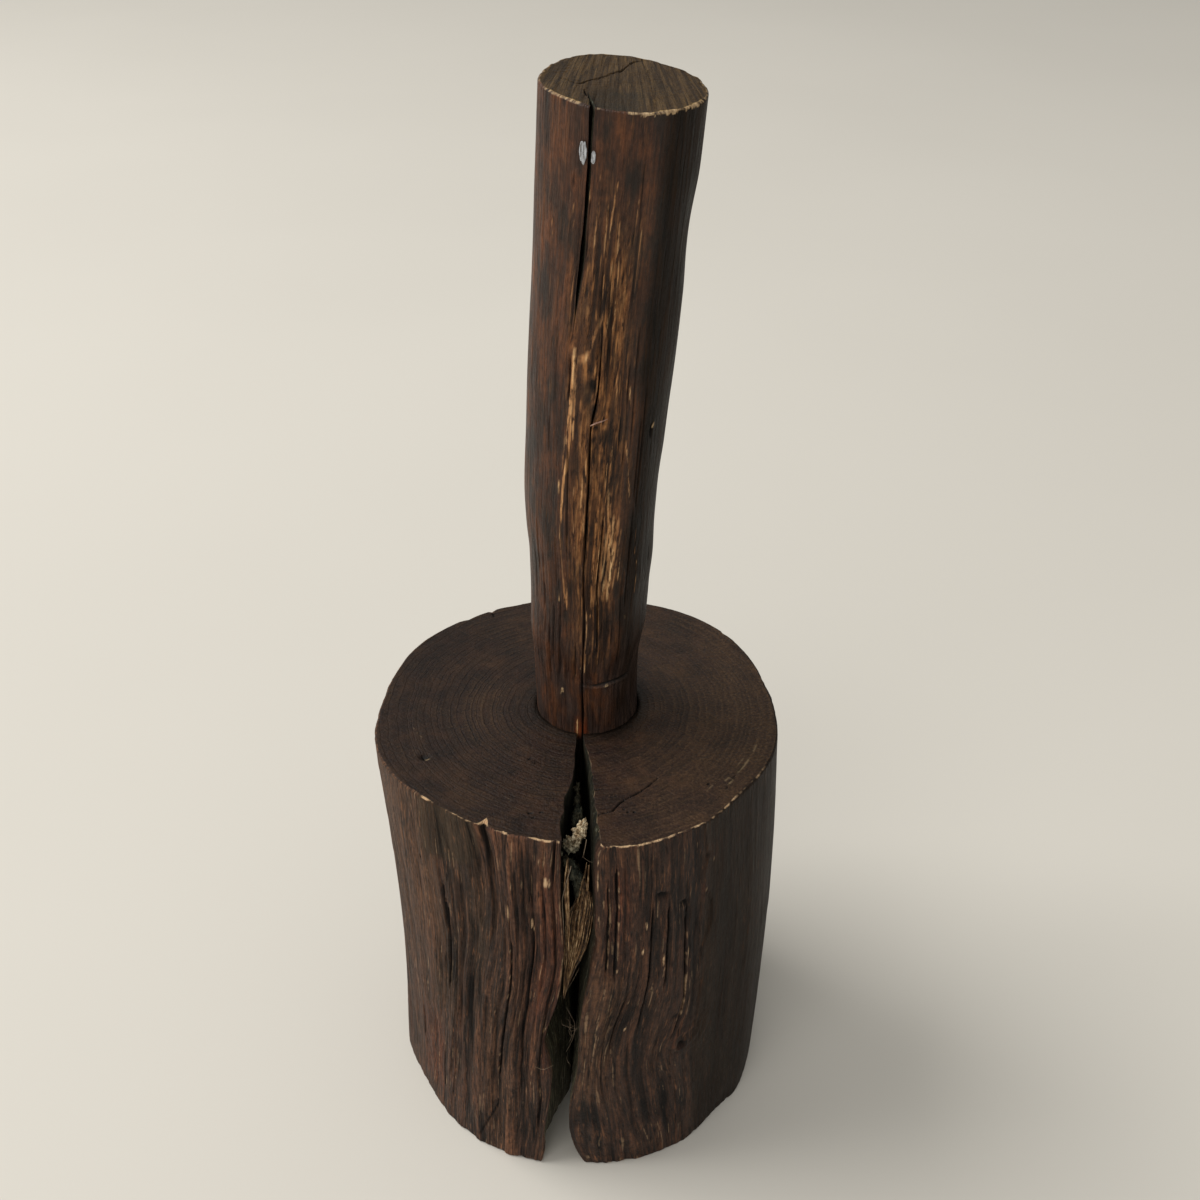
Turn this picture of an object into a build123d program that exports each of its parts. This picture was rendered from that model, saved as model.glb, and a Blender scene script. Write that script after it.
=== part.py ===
from build123d import *
import os
from math import sin, cos, radians, pi

os.makedirs("parts", exist_ok=True)

# Rustic log mallet. Millimetres, +Z up, the log's striking face on z = 0.
# The log stands on end with its split towards -Y, and the handle rises out of
# the upper end grain. The origin is under the centre of the whole mallet.
# Tables and places are measured from the pith, the log's growth centre;
# left is -X and right is +X, as seen from the split side.

# ---------------------------------------------------------------- log
head_height = 150.6            # sawn end to sawn end
pith_x, pith_y = -1.33, 0.30   # from the origin
rim_round = 0.8                # worn rounding of both sawn rims
bow = 2.1                      # sideways bow of the log at half height, towards +X
log_stations = (0.0, 0.17, 0.43, 0.75, 1.0)   # outline heights, shares of head_height

# Outline radius about the pith at both sawn ends, evenly spaced
# counter-clockwise from +X
top_radii = [64.0, 63.6, 65.3, 66.6, 66.4, 65.3, 64.6, 64.1, 64.1, 64.9, 65.7, 64.4,
             64.6, 66.4, 66.7, 64.9, 64.1, 63.9, 64.6, 67.0, 67.2, 65.0, 64.9, 65.0]
bottom_radii = [66.4, 66.0, 66.0, 65.5, 65.0, 64.6, 64.4, 64.2, 64.6, 64.8, 64.2, 63.8,
                64.3, 64.4, 62.8, 64.1, 65.1, 65.6, 64.5, 65.5, 66.6, 65.5, 67.3, 66.4]

# ---------------------------------------------------------------- drying split of the log
# One radial gap from the bark to the mortise, over the whole height.
# z, left x and right x at the bark, left x and right x at the inner end
split_rows = [
    (-3.0, -10.6, 4.4, -0.9, 0.8),
    (11.1, -10.0, 0.1, -0.9, 0.7),
    (21.1, -9.0, -1.2, -0.9, 0.7),
    (29.3, -8.1, -1.2, -0.9, 0.7),
    (37.9, -7.3, 0.1, -0.9, 0.8),
    (46.5, -7.0, 1.3, -0.8, 0.8),
    (54.5, -8.0, 2.1, -0.8, 0.9),
    (62.7, -9.1, 2.1, -0.8, 0.9),
    (70.3, -7.8, 2.2, -0.7, 1.0),
    (78.0, -5.7, 3.0, -0.7, 1.0),
    (85.0, -4.2, 3.8, -0.7, 1.1),
    (93.5, -3.3, 5.2, -0.6, 1.2),
    (104.0, -2.7, 6.6, -0.6, 1.3),
    (115.0, -3.1, 7.0, -0.5, 1.4),
    (128.2, -3.6, 6.8, -0.5, 1.5),
    (139.0, -3.6, 6.6, -0.4, 1.6),
    (153.6, -3.1, 8.4, -0.3, 1.7),
]
split_bark_y = -65.0           # where the table's bark positions hold
split_outer_y = -72.0          # past the bark
split_inner_y = -11.0          # inside the mortise
# Each wall bends once: y of the bend, and the share of its opening reached there
split_left_y, split_left_open = -36.0, 0.12
split_right_y, split_right_open = -32.0, 0.44

# ---------------------------------------------------------------- mortise and tenon
foot_x, foot_y = 2.9, 3.0      # handle's axis where it enters the log
mortise_r_bottom = 15.75
mortise_r_top = 16.65
mortise_overrun = 1.0          # the mortise cutter passes both sawn ends by this
tenon_r_bottom = 15.6
tenon_r_top = 16.6             # at the shoulder
tenon_end_z = 1.0              # the tenon stops short of the striking face
foot_mid_z = head_height + 2.0
foot_mid_r = 0.5 * (tenon_r_bottom + tenon_r_top) + 0.05
shoulder_x, shoulder_y = foot_x - 0.3, foot_y - 0.8
shoulder_z = 172.0             # end of the whittled foot, above the log
shoulder_run = 2.4             # height of the shoulder's slope

# ---------------------------------------------------------------- handle
# A crooked round stick: z, axis x, axis y, radius
handle_rows = [
    (shoulder_z + shoulder_run, 2.6, 2.0, 17.7),
    (185.0, 3.1, 1.0, 18.2),
    (201.0, 3.6, -0.6, 18.3),
    (219.0, 3.7, -2.9, 18.6),
    (235.0, 3.95, -5.0, 19.2),
    (255.0, 4.9, -7.7, 19.3),
    (275.0, 5.9, -10.4, 19.6),
    (297.0, 7.1, -13.3, 19.7),
    (317.0, 8.2, -15.9, 20.1),
    (335.0, 9.4, -18.0, 20.35),
    (352.0, 10.4, -20.0, 20.4),
    (362.0, 11.0, -21.2, 20.4),
]
shoulder_row = (shoulder_z, shoulder_x, shoulder_y, tenon_r_top)
foot_rows = [
    (tenon_end_z, foot_x, foot_y, tenon_r_bottom),
    (foot_mid_z, foot_x, foot_y, foot_mid_r),
    shoulder_row,
    handle_rows[0],
]
# Straightened course of the axis that the cracks follow
axis_rows = [(0.0, foot_x, foot_y, tenon_r_bottom), shoulder_row] + handle_rows

top_x, top_y, top_z = 9.93, -19.91, 351.9   # centre of the handle's sawn end
top_normal = (0.091, -0.083, 1.0)           # the saw cut is a little out of square

# Drying cracks: z, direction in degrees about the axis from +X
long_crack = [(140.0, -94.3), (152.0, -93.8), (177.0, -94.6), (201.0, -94.6),
              (226.0, -94.8), (255.0, -94.9), (271.0, -92.6), (284.0, -91.2),
              (298.0, -92.0)]
upper_crack = [(289.0, -115.1), (297.0, -113.1), (313.0, -109.9), (327.0, -109.1),
               (344.0, -109.2), (362.0, -109.7)]
long_crack_width, long_crack_depth = 0.6, 8.0
upper_crack_width, upper_crack_depth = 1.3, 13.0
crack_tip_width = 0.1
crack_overrun = 2.0            # a crack's cutter starts this far outside the handle

# ---------------------------------------------------------------- wedge and kerf
# The wedge is driven into the tenon from below, in a kerf in the split's plane
wedge_length = 42.0
wedge_breadth = 27.0
wedge_tip_breadth = wedge_breadth - 1.5
wedge_thick_end = 5.0
wedge_thin_end = 0.8
kerf_gap = 0.08                # clearance on each face of the wedge
kerf_over = 4.0                # the kerf runs on above the wedge's thin end
kerf_overrun = 2.0             # and its cutter starts below the tenon's end
kerf_reach = 30.0              # half breadth of the cutter, more than the tenon's radius

# ---------------------------------------------------------------- loose wood in the split
# Torn fibres, one list a bundle, from its upper end down:
# z, x, y, breadth, thickness, turn about the vertical in degrees
sliver_rows = [
    [(131.0, 4.1, -53.5, 1.0, 0.5, 0), (122.0, 3.3, -55.0, 3.6, 1.0, -20),
     (112.0, 2.1, -56.5, 4.6, 1.2, -25), (102.0, 0.9, -57.5, 4.0, 1.2, -20),
     (93.0, -0.6, -58.0, 3.0, 1.0, -10), (84.0, -2.0, -58.0, 1.8, 0.7, 0),
     (77.0, -2.9, -58.0, 0.7, 0.4, 0)],
    [(141.0, -1.5, -60.6, 0.6, 0.4, 0), (130.0, -1.8, -61.0, 1.3, 0.9, 0),
     (118.0, -1.5, -61.4, 1.6, 1.0, 10), (106.0, -1.3, -61.6, 1.3, 0.8, 10),
     (95.0, -1.5, -61.2, 0.6, 0.4, 0)],
    [(70.0, -4.6, -57.0, 0.5, 0.4, 0), (58.0, -3.4, -56.0, 1.2, 0.8, 15),
     (45.0, -2.4, -55.0, 1.2, 0.8, 15), (32.0, -2.6, -54.0, 0.5, 0.4, 0)],
]
# A bundle's six-sided section: corners in shares of half breadth, half thickness
sliver_corners = [(-1, 0), (-0.5, -1), (0.5, -1), (1, 0), (0.4, 1), (-0.4, 1)]

# Crumb of pale wood in the mouth of the split: z, then corner offsets from its centre
chip_x, chip_y = 0.7, -54.5
chip_rows = [
    (137.5, [(-1.6, -1.9), (0.3, -2.6), (1.2, -0.6), (0.4, 1.4), (-1.2, 1.2)]),
    (141.5, [(-2.6, -3.6), (0.6, -4.4), (2.4, -1.0), (1.2, 2.8), (-2.0, 2.4)]),
    (146.0, [(-2.4, -3.0), (1.0, -4.0), (3.2, -1.4), (2.4, 2.6), (-1.6, 3.2)]),
    (150.0, [(-1.0, -2.0), (1.6, -2.8), (3.2, -0.8), (2.6, 1.8), (-0.4, 2.2)]),
    (152.2, [(0.4, -1.0), (1.8, -1.5), (2.6, -0.2), (2.0, 1.0), (0.6, 0.9)]),
]


# ---------------------------------------------------------------- helpers
def from_pith(x, y, z):
    """Point in the mallet's frame for a place measured from the pith."""
    return (pith_x + x, pith_y + y, z)


def polygon_loft(sections):
    """Ruled solid through level polygons, each given as z and corners from the pith."""
    with BuildPart() as solid:
        for z, corners in sections:
            with BuildSketch(Plane.XY.offset(z)):
                Polygon(*[(pith_x + x, pith_y + y) for x, y in corners], align=None)
        loft(ruled=True)
    return solid.part


def save(part, name):
    """Label a piece and write its STEP file."""
    part.label = name
    export_step(part, f"parts/{name}.step")


# ---------------------------------------------------------------- head
def log_outline(share):
    """Points of the log's outline at this share of its height."""
    side = bow * sin(pi * share)
    step = 2 * pi / len(top_radii)
    points = []
    for i, (top, bottom) in enumerate(zip(top_radii, bottom_radii)):
        radius = top * share + bottom * (1 - share)
        points.append((pith_x + side + radius * cos(step * i),
                       pith_y + radius * sin(step * i)))
    return points


def make_log():
    """Solid log with rounded rims."""
    with BuildPart() as log:
        for share in log_stations:
            with BuildSketch(Plane.XY.offset(share * head_height)):
                with BuildLine():
                    Spline(*log_outline(share), periodic=True)
                make_face()
        loft()
        rims = log.edges().group_by(Axis.Z)
        fillet([rims[0][0], rims[-1][0]], radius=rim_round)
    return log.part


def split_wall(bark_x, inner_x, bend_y, bend_open):
    """Outer end and bend of one wall of the split, as two points."""
    opening = bark_x - inner_x
    bend_x = inner_x + opening * bend_open
    # the wall runs on straight from the bend, past the bark
    slope = (bark_x - bend_x) / (bend_y - split_bark_y)
    outer_x = bark_x + slope * (split_bark_y - split_outer_y)
    return (outer_x, split_outer_y), (bend_x, bend_y)


def make_split_gap():
    """Cutter for the log's drying split."""
    sections = []
    for z, left, right, inner_left, inner_right in split_rows:
        left_end, left_bend = split_wall(left, inner_left, split_left_y, split_left_open)
        right_end, right_bend = split_wall(right, inner_right, split_right_y, split_right_open)
        sections.append((z, [left_end, right_end, right_bend, (inner_right, split_inner_y),
                             (inner_left, split_inner_y), left_bend]))
    return polygon_loft(sections)


def make_head():
    """Log with its tapered mortise and its split."""
    log = make_log()
    split_gap = make_split_gap()
    with BuildPart() as head:
        add(log)
        with BuildSketch(Plane(from_pith(foot_x, foot_y, -mortise_overrun))):
            Circle(mortise_r_bottom)
        with BuildSketch(Plane(from_pith(foot_x, foot_y, head_height + mortise_overrun))):
            Circle(mortise_r_top)
        loft(ruled=True, mode=Mode.SUBTRACT)
        add(split_gap, mode=Mode.SUBTRACT)
    return head.part


# ---------------------------------------------------------------- handle
def handle_at(z):
    """Axis x, y and radius of the handle at height z."""
    for (z_low, *low), (z_high, *high) in zip(axis_rows, axis_rows[1:]):
        if z_low <= z <= z_high:
            share = (z - z_low) / (z_high - z_low)
            return [a * (1 - share) + b * share for a, b in zip(low, high)]


def make_crack_gap(path, width, depth):
    """Cutter for a crack that narrows towards the handle's axis."""
    sections = []
    for z, angle in path:
        axis_x, axis_y, radius = handle_at(z)
        out_x, out_y = cos(radians(angle)), sin(radians(angle))
        mouth, tip = radius + crack_overrun, radius - depth
        # distance out from the axis, distance sideways
        corners = [(mouth, -0.5 * width), (mouth, 0.5 * width),
                   (tip, 0.5 * crack_tip_width), (tip, -0.5 * crack_tip_width)]
        sections.append((z, [(axis_x + out * out_x - side * out_y,
                              axis_y + out * out_y + side * out_x)
                             for out, side in corners]))
    return polygon_loft(sections)


def make_handle():
    """Tenon, whittled foot and stick, with the wedge's kerf and both cracks."""
    long_gap = make_crack_gap(long_crack, long_crack_width, long_crack_depth)
    upper_gap = make_crack_gap(upper_crack, upper_crack_width, upper_crack_depth)
    with BuildPart() as handle:
        # tapered tenon and whittled foot
        for z, x, y, radius in foot_rows:
            with BuildSketch(Plane(from_pith(x, y, z))):
                Circle(radius)
        loft(ruled=True)
        # the stick above the foot
        for z, x, y, radius in handle_rows:
            with BuildSketch(Plane(from_pith(x, y, z))):
                Circle(radius)
        loft()
        # sawn end
        split(bisect_by=Plane(origin=from_pith(top_x, top_y, top_z), z_dir=top_normal),
              keep=Keep.BOTTOM)
        # kerf for the wedge, open at the tenon's end
        slope = 0.5 * (wedge_thick_end - wedge_thin_end) / wedge_length
        half = 0.5 * wedge_thick_end + kerf_gap
        run = wedge_length + kerf_over
        half_low = half + slope * kerf_overrun
        half_high = half - slope * run
        low_z, high_z = tenon_end_z - kerf_overrun, tenon_end_z + run
        with BuildSketch(Plane(origin=from_pith(foot_x, foot_y, 0), x_dir=(1, 0, 0),
                               z_dir=(0, -1, 0))):
            Polygon((-half_low, low_z), (half_low, low_z),
                    (half_high, high_z), (-half_high, high_z), align=None)
        extrude(amount=kerf_reach, both=True, mode=Mode.SUBTRACT)
        add(long_gap, mode=Mode.SUBTRACT)
        add(upper_gap, mode=Mode.SUBTRACT)
    return handle.part


# ---------------------------------------------------------------- tenon wedge
def make_tenon_wedge():
    """Wedge with its thick end level with the tenon's end."""
    with BuildPart() as wedge:
        with BuildSketch(Plane(from_pith(foot_x, foot_y, tenon_end_z))):
            Rectangle(wedge_thick_end, wedge_breadth)
        with BuildSketch(Plane(from_pith(foot_x, foot_y, tenon_end_z + wedge_length))):
            Rectangle(wedge_thin_end, wedge_tip_breadth)
        loft(ruled=True)
    return wedge.part


# ---------------------------------------------------------------- torn fibres
def make_fibre_bundle(rows):
    """One bundle of fibres, turning as it runs down."""
    with BuildPart() as bundle:
        for z, x, y, breadth, thickness, turn in rows:
            angle = radians(turn)
            with BuildSketch(Plane(origin=from_pith(x, y, z),
                                   x_dir=(cos(angle), sin(angle), 0), z_dir=(0, 0, 1))):
                Polygon(*[(0.5 * breadth * across, 0.5 * thickness * through)
                          for across, through in sliver_corners], align=None)
        loft(ruled=True)
    return bundle.part


def make_torn_slivers():
    """All fibre bundles as one piece."""
    bundles = [make_fibre_bundle(rows) for rows in sliver_rows]
    with BuildPart() as slivers:
        add(bundles)
    return slivers.part


# ---------------------------------------------------------------- lodged chip
def make_lodged_chip():
    """Faceted crumb of wood."""
    return polygon_loft([(z, [(chip_x + x, chip_y + y) for x, y in corners])
                         for z, corners in chip_rows])


save(make_head(), "head")
save(make_handle(), "handle")
save(make_tenon_wedge(), "tenon_wedge")
save(make_torn_slivers(), "torn_slivers")
save(make_lodged_chip(), "lodged_chip")
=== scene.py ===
# A mallet: an upright log with a split down its front, and a stick handle rising from a mortise.
# The log stands on z = 0 with its split facing -Y, the front; +X is right. The handle leans
# forward. Lengths are in mm unless noted and are scaled to metres when a mesh is made.
import math
import bmesh
import bpy
import numpy as np
from mathutils import Matrix, Vector


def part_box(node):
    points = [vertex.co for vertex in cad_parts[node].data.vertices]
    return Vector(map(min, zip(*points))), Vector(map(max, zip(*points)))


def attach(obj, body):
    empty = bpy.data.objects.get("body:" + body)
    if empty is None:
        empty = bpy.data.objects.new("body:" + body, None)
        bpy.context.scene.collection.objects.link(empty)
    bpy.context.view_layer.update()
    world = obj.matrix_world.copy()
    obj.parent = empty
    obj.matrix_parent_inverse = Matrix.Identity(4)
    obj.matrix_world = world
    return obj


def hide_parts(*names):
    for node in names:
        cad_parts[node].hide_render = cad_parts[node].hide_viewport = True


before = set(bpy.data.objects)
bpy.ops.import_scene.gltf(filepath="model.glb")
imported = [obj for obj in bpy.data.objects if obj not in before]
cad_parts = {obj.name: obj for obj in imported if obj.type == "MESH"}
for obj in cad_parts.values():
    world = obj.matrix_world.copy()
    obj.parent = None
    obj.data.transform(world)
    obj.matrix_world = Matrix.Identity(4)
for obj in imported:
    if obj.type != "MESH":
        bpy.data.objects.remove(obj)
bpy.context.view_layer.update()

MM = 0.001
HEAD_LO, HEAD_HI = [[c / MM for c in p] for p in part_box("head")]
LOG_H = HEAD_HI[2] - HEAD_LO[2]
PITH = np.array([-1.33, 0.30])           # the log's growth centre
FOOT = PITH + np.array([2.9, 3.0])       # the handle's axis where it enters the log
PITH_3D = np.array([*PITH, 0.0])
SIDE, SAWN, WALL, MORTISE = range(4)     # face kinds, which are also the material slots

# ------------------------------------------------------------------ curves and noise


def hash01(i, j, seed):
    """A repeatable pseudo-random number in 0..1 for whole numbers i, j."""
    i = np.asarray(i, np.int64)
    j = np.asarray(j, np.int64)
    n = i * 374761393 + j * 668265263 + seed * 2147483647 * 7 + seed * 1274126177
    n = n & 0xFFFFFFFF
    n = ((n ^ (n >> 13)) * 1274126177) & 0xFFFFFFFF
    n = ((n ^ (n >> 16)) * 2246822519) & 0xFFFFFFFF
    n = n ^ (n >> 15)
    return (n & 0xFFFFFF) / float(0x1000000)


def noise(x, y, seed):
    """Smooth value noise, -1..1."""
    x, y = np.broadcast_arrays(np.asarray(x, float), np.asarray(y, float))
    i, j = np.floor(x), np.floor(y)
    right, up = (t * t * t * (t * (t * 6 - 15) + 10) for t in (x - i, y - j))
    i, j = i.astype(np.int64), j.astype(np.int64)
    low = hash01(i, j, seed) * (1 - right) + hash01(i + 1, j, seed) * right
    high = hash01(i, j + 1, seed) * (1 - right) + hash01(i + 1, j + 1, seed) * right
    return 2 * (low * (1 - up) + high * up) - 1


def fbm(x, y, seed, octaves=3):
    """Value noise summed over octaves that halve in size and strength."""
    total, weight, strength = 0.0, 0.0, 1.0
    for k in range(octaves):
        layer = noise(np.asarray(x) * 2 ** k + 17.3 * k, np.asarray(y) * 2 ** k + 9.1 * k,
                      seed + 31 * k)
        total = total + strength * layer
        weight += strength
        strength *= 0.5
    return total / weight


def unit(x):
    return np.clip(x, 0, 1)


def smooth(start, end, x):
    """0 at start, easing to 1 at end."""
    t = unit((np.asarray(x, float) - start) / (end - start))
    return t * t * (3 - 2 * t)


def fall(start, end, x):
    """1 at start, easing to 0 at end."""
    return 1 - smooth(start, end, x)


def band(x, rise, full, fade, end):
    """Eases up from rise to full, and down again from fade to end."""
    return smooth(rise, full, x) * fall(fade, end, x)


def bump(x, centre, reach):
    """1 at centre, falling smoothly to 0 at distance reach."""
    t = unit(np.abs(np.asarray(x, float) - centre) / reach)
    return (1 - t * t) ** 2


def gauss(x, width):
    return np.exp(-(x / width) ** 2)


def terraces(height, ease, width):
    """Turns height into steps; also returns a mask of the steps' edges."""
    part = height - np.floor(height)
    steps = np.floor(height) + smooth(0.5 - ease, 0.5 + ease, part)
    return steps, gauss(part - 0.5, width)


def rounding(distance, radius):
    """How far a rounded edge falls back at a distance from the rim."""
    t = unit(1 - distance / radius)
    return radius * (1 - np.sqrt(unit(1 - t * t)))


def hermite(xs, ys, x):
    """Nearly monotone cubic through the points, flat beyond both ends."""
    xs, ys = np.asarray(xs, float), np.asarray(ys, float)
    step = np.diff(xs)
    rise = np.diff(ys) / step
    slope = np.zeros(len(xs))
    before, after = rise[:-1], rise[1:]
    slope[1:-1] = np.where(before * after > 0, 2 * before * after / (before + after + 1e-12), 0)
    slope[0], slope[-1] = rise[0], rise[-1]
    x = np.clip(np.asarray(x, float), xs[0], xs[-1])
    k = np.clip(np.searchsorted(xs, x, side="right") - 1, 0, len(xs) - 2)
    t = (x - xs[k]) / step[k]
    t2, t3 = t * t, t * t * t
    return ((2 * t3 - 3 * t2 + 1) * ys[k] + (t3 - 2 * t2 + t) * step[k] * slope[k]
            + (-2 * t3 + 3 * t2) * ys[k + 1] + (t3 - t2) * step[k] * slope[k + 1])


def curve(table, x):
    """hermite() through a list of (x, y) points."""
    return hermite(*zip(*table), x)


def periodic(values, degrees):
    """Periodic Catmull-Rom curve through values spaced evenly over 360 degrees."""
    values = np.asarray(values, float)
    count = len(values)
    x = np.mod(np.asarray(degrees, float), 360) / (360 / count)
    k = np.floor(x).astype(int) % count
    t = x - np.floor(x)
    p0, p1, p2, p3 = (values[(k + i) % count] for i in (-1, 0, 1, 2))
    return 0.5 * (2 * p1 + (p2 - p0) * t + (2 * p0 - 5 * p1 + 4 * p2 - p3) * t ** 2
                  + (3 * p1 - p0 - 3 * p2 + p3) * t ** 3)


def path_distance(x, y, points):
    """Distance to a polyline, and how far along it the nearest point lies, 0..1."""
    x, y = np.asarray(x, float), np.asarray(y, float)
    points = np.asarray(points, float)
    best = np.full(x.shape, 1e9)
    along = np.zeros(x.shape)
    length = np.r_[0, np.cumsum(np.hypot(*np.diff(points, axis=0).T))]
    for k in range(len(points) - 1):
        (x0, y0), (dx, dy) = points[k], points[k + 1] - points[k]
        t = unit(((x - x0) * dx + (y - y0) * dy) / (dx * dx + dy * dy))
        gap = np.hypot(x - x0 - t * dx, y - y0 - t * dy)
        nearer = gap < best
        best = np.where(nearer, gap, best)
        here = (length[k] + t * (length[k + 1] - length[k])) / length[-1]
        along = np.where(nearer, here, along)
    return best, along


def on_circle(centre, radius, angle, z):
    """Points at angles in radians round a centre, all at height z."""
    return np.stack([centre[0] + radius * np.cos(angle), centre[1] + radius * np.sin(angle),
                     np.full(len(angle), z)], -1)


# ------------------------------------------------------------------ mesh helpers


def zipper(first, second, first_at, second_at, flip=False):
    """Faces between two rows of vertex numbers with different counts."""
    out = []
    i = j = 0
    last_i, last_j = len(first) - 1, len(second) - 1
    while i < last_i or j < last_j:
        if i < last_i and j < last_j and abs(first_at[i + 1] - second_at[j + 1]) < 1e-7:
            face = (first[i], first[i + 1], second[j + 1], second[j])
            i += 1
            j += 1
        elif j >= last_j or (i < last_i and first_at[i + 1] <= second_at[j + 1]):
            face = (first[i], first[i + 1], second[j])
            i += 1
        else:
            face = (first[i], second[j + 1], second[j])
            j += 1
        out.append(face[::-1] if flip else face)
    return out


def grid_faces(grid, flip=False):
    """Quads of a 2-D array of vertex numbers."""
    grid = np.asarray(grid)
    quads = np.stack([grid[:-1, :-1], grid[:-1, 1:], grid[1:, 1:], grid[1:, :-1]], -1)
    quads = quads.reshape(-1, 4)
    if flip:
        quads = quads[:, ::-1]
    return [tuple(int(v) for v in quad) for quad in quads]


def loop_grid(rows, sides):
    """Vertex numbers of closed rows, and the same with the first column repeated at the end."""
    grid = np.arange(rows * sides).reshape(rows, sides)
    return grid, np.concatenate([grid, grid[:, :1]], 1)


def cap(row):
    return tuple(int(v) for v in row)


class MeshParts:
    """Collects vertices and faces of one mesh."""

    def __init__(self):
        self.blocks, self.count = [], 0
        self.faces, self.kinds = [], []

    def add(self, block):
        """Adds an array of points and returns their numbers in the same shape."""
        block = np.asarray(block, float)
        self.blocks.append(block.reshape(-1, 3))
        start = self.count
        self.count += len(self.blocks[-1])
        return np.arange(start, self.count).reshape(block.shape[:-1])

    def put(self, faces, kind):
        """Adds faces, without repeated corners and without those that collapse."""
        for face in faces:
            corners = tuple(dict.fromkeys(face))
            if len(corners) >= 3:
                self.faces.append(corners)
                self.kinds.append(kind)


def make_object(name, points, faces, materials, kinds=None, shade_smooth=True):
    mesh = bpy.data.meshes.new(name)
    mesh.from_pydata([tuple(v) for v in (np.asarray(points, float) * MM)], [], faces)
    mesh.validate(clean_customdata=False)
    for material in materials:
        mesh.materials.append(material)
    # if validate() dropped a face, the kinds would no longer line up
    if kinds is not None and len(kinds) == len(mesh.polygons):
        mesh.polygons.foreach_set("material_index", np.asarray(kinds, np.int32))
    if shade_smooth:
        mesh.polygons.foreach_set("use_smooth", np.ones(len(mesh.polygons), bool))
    mesh.update()
    ob = bpy.data.objects.new(name, mesh)
    bpy.context.scene.collection.objects.link(ob)
    return ob


def put_attribute(mesh, name, values):
    """Stores one number, or one vector, for each vertex."""
    values = np.asarray(values, np.float32)
    kind, field = ("FLOAT", "value") if values.ndim == 1 else ("FLOAT_VECTOR", "vector")
    layer = mesh.attributes.get(name) or mesh.attributes.new(name, kind, "POINT")
    layer.data.foreach_set(field, values.reshape(-1))


def get_points(mesh):
    points = np.empty(len(mesh.vertices) * 3)
    mesh.vertices.foreach_get("co", points)
    return points.reshape(-1, 3)


def get_floats(mesh, name):
    values = np.empty(len(mesh.vertices))
    mesh.attributes[name].data.foreach_get("value", values)
    return values


def raise_end(ob, low, high, lift):
    """Moves the inner vertices of the sawn end between two heights up by lift(x, y)."""
    mesh = ob.data
    points = get_points(mesh)
    kinds, totals = (np.empty(len(mesh.polygons), np.int32) for _ in range(2))
    mesh.polygons.foreach_get("material_index", kinds)
    mesh.polygons.foreach_get("loop_total", totals)
    corner = np.empty(len(mesh.loops), np.int32)
    mesh.loops.foreach_get("vertex_index", corner)
    corner_kind = np.repeat(kinds, totals)
    sawn = np.zeros(len(points), bool)
    sawn[corner[corner_kind == SAWN]] = True
    sawn[corner[corner_kind != SAWN]] = False
    z = points[:, 2] / MM
    moved = sawn & (z > low) & (z < high)
    points[moved, 2] += lift(points[moved, 0] / MM, points[moved, 1] / MM) * MM
    mesh.vertices.foreach_set("co", points.reshape(-1))
    mesh.update()
    return moved


def etch(ob, origin, reach, cracks):
    """Cuts hairline cracks into the upper sawn end.

    A crack is its (x, y) points from the origin, its half width and its depth; faces within
    reach of one are subdivided first.
    """
    cracks = [(np.array(points) + origin, width, depth) for points, width, depth in cracks]
    mesh = ob.data
    bm = bmesh.new()
    bm.from_mesh(mesh)
    x, y = (np.array([v.co for v in bm.verts]) / MM)[:, :2].T
    near = np.zeros(len(x), bool)
    for points, width, _ in cracks:
        near |= path_distance(x, y, points)[0] < reach + width
    faces = [f for f in bm.faces if f.material_index == SAWN and f.normal.z > 0.5
             and all(near[v.index] for v in f.verts)]
    edges = list({e for f in faces for e in f.edges
                  if all(g.material_index == SAWN for g in e.link_faces)})
    bmesh.ops.subdivide_edges(bm, edges=edges, cuts=2, use_grid_fill=True)
    verts = [v for v in bm.verts if v.link_faces and all(
        f.material_index == SAWN and f.normal.z >= 0.3 for f in v.link_faces)]
    x, y = (np.array([v.co for v in verts]) / MM)[:, :2].T
    sink, dark = np.zeros(len(x)), np.zeros(len(x))
    for points, width, depth in cracks:
        gap, along = path_distance(x, y, points)
        taper = 0.35 + 0.65 * np.minimum(1.0, 6 * np.minimum(along, 1 - along) + 0.12)
        half = width * taper * (0.8 + 0.35 * noise(x / 1.3, y / 1.3, 7))
        cut = unit(1 - (gap / half) ** 2)
        sink += depth * cut ** 0.6
        dark = np.maximum(dark, unit(1.6 * cut))
    # the cracks are darkened as painted shade
    layer = bm.verts.layers.float.get("hollow_shade")
    for k, v in enumerate(verts):
        if sink[k] > 0:
            v.co.z -= sink[k] * MM
            v[layer] = max(v[layer], dark[k])
    bm.to_mesh(mesh)
    bm.free()
    mesh.polygons.foreach_set("use_smooth", np.ones(len(mesh.polygons), bool))
    mesh.update()


class Skin:
    """Relief of a round surface on a grid: rows go up, columns follow the grain.

    line is the signed grain line, nominally degrees from the front; arc is its place in mm;
    angle is the true direction; out is the outward relief; mask holds the vertex attributes.
    """

    def __init__(self, line, z, arc, angle, masks):
        self.line, self.z, self.arc, self.angle = line, z, arc, angle
        self.out = np.zeros_like(z)
        self.mask = {name: np.zeros_like(z) for name in masks}

    def mark(self, name, value):
        self.mask[name] = np.maximum(self.mask[name], value)


def rim_arcs(line, arcs, ease):
    """Strength round a rim from arcs of (start line, end line, strength)."""
    on = np.zeros_like(line)
    for start, end, strength in arcs:
        on = np.maximum(on, strength * band(line, start - ease, start + ease,
                                            end - ease, end + ease))
    return on


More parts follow.
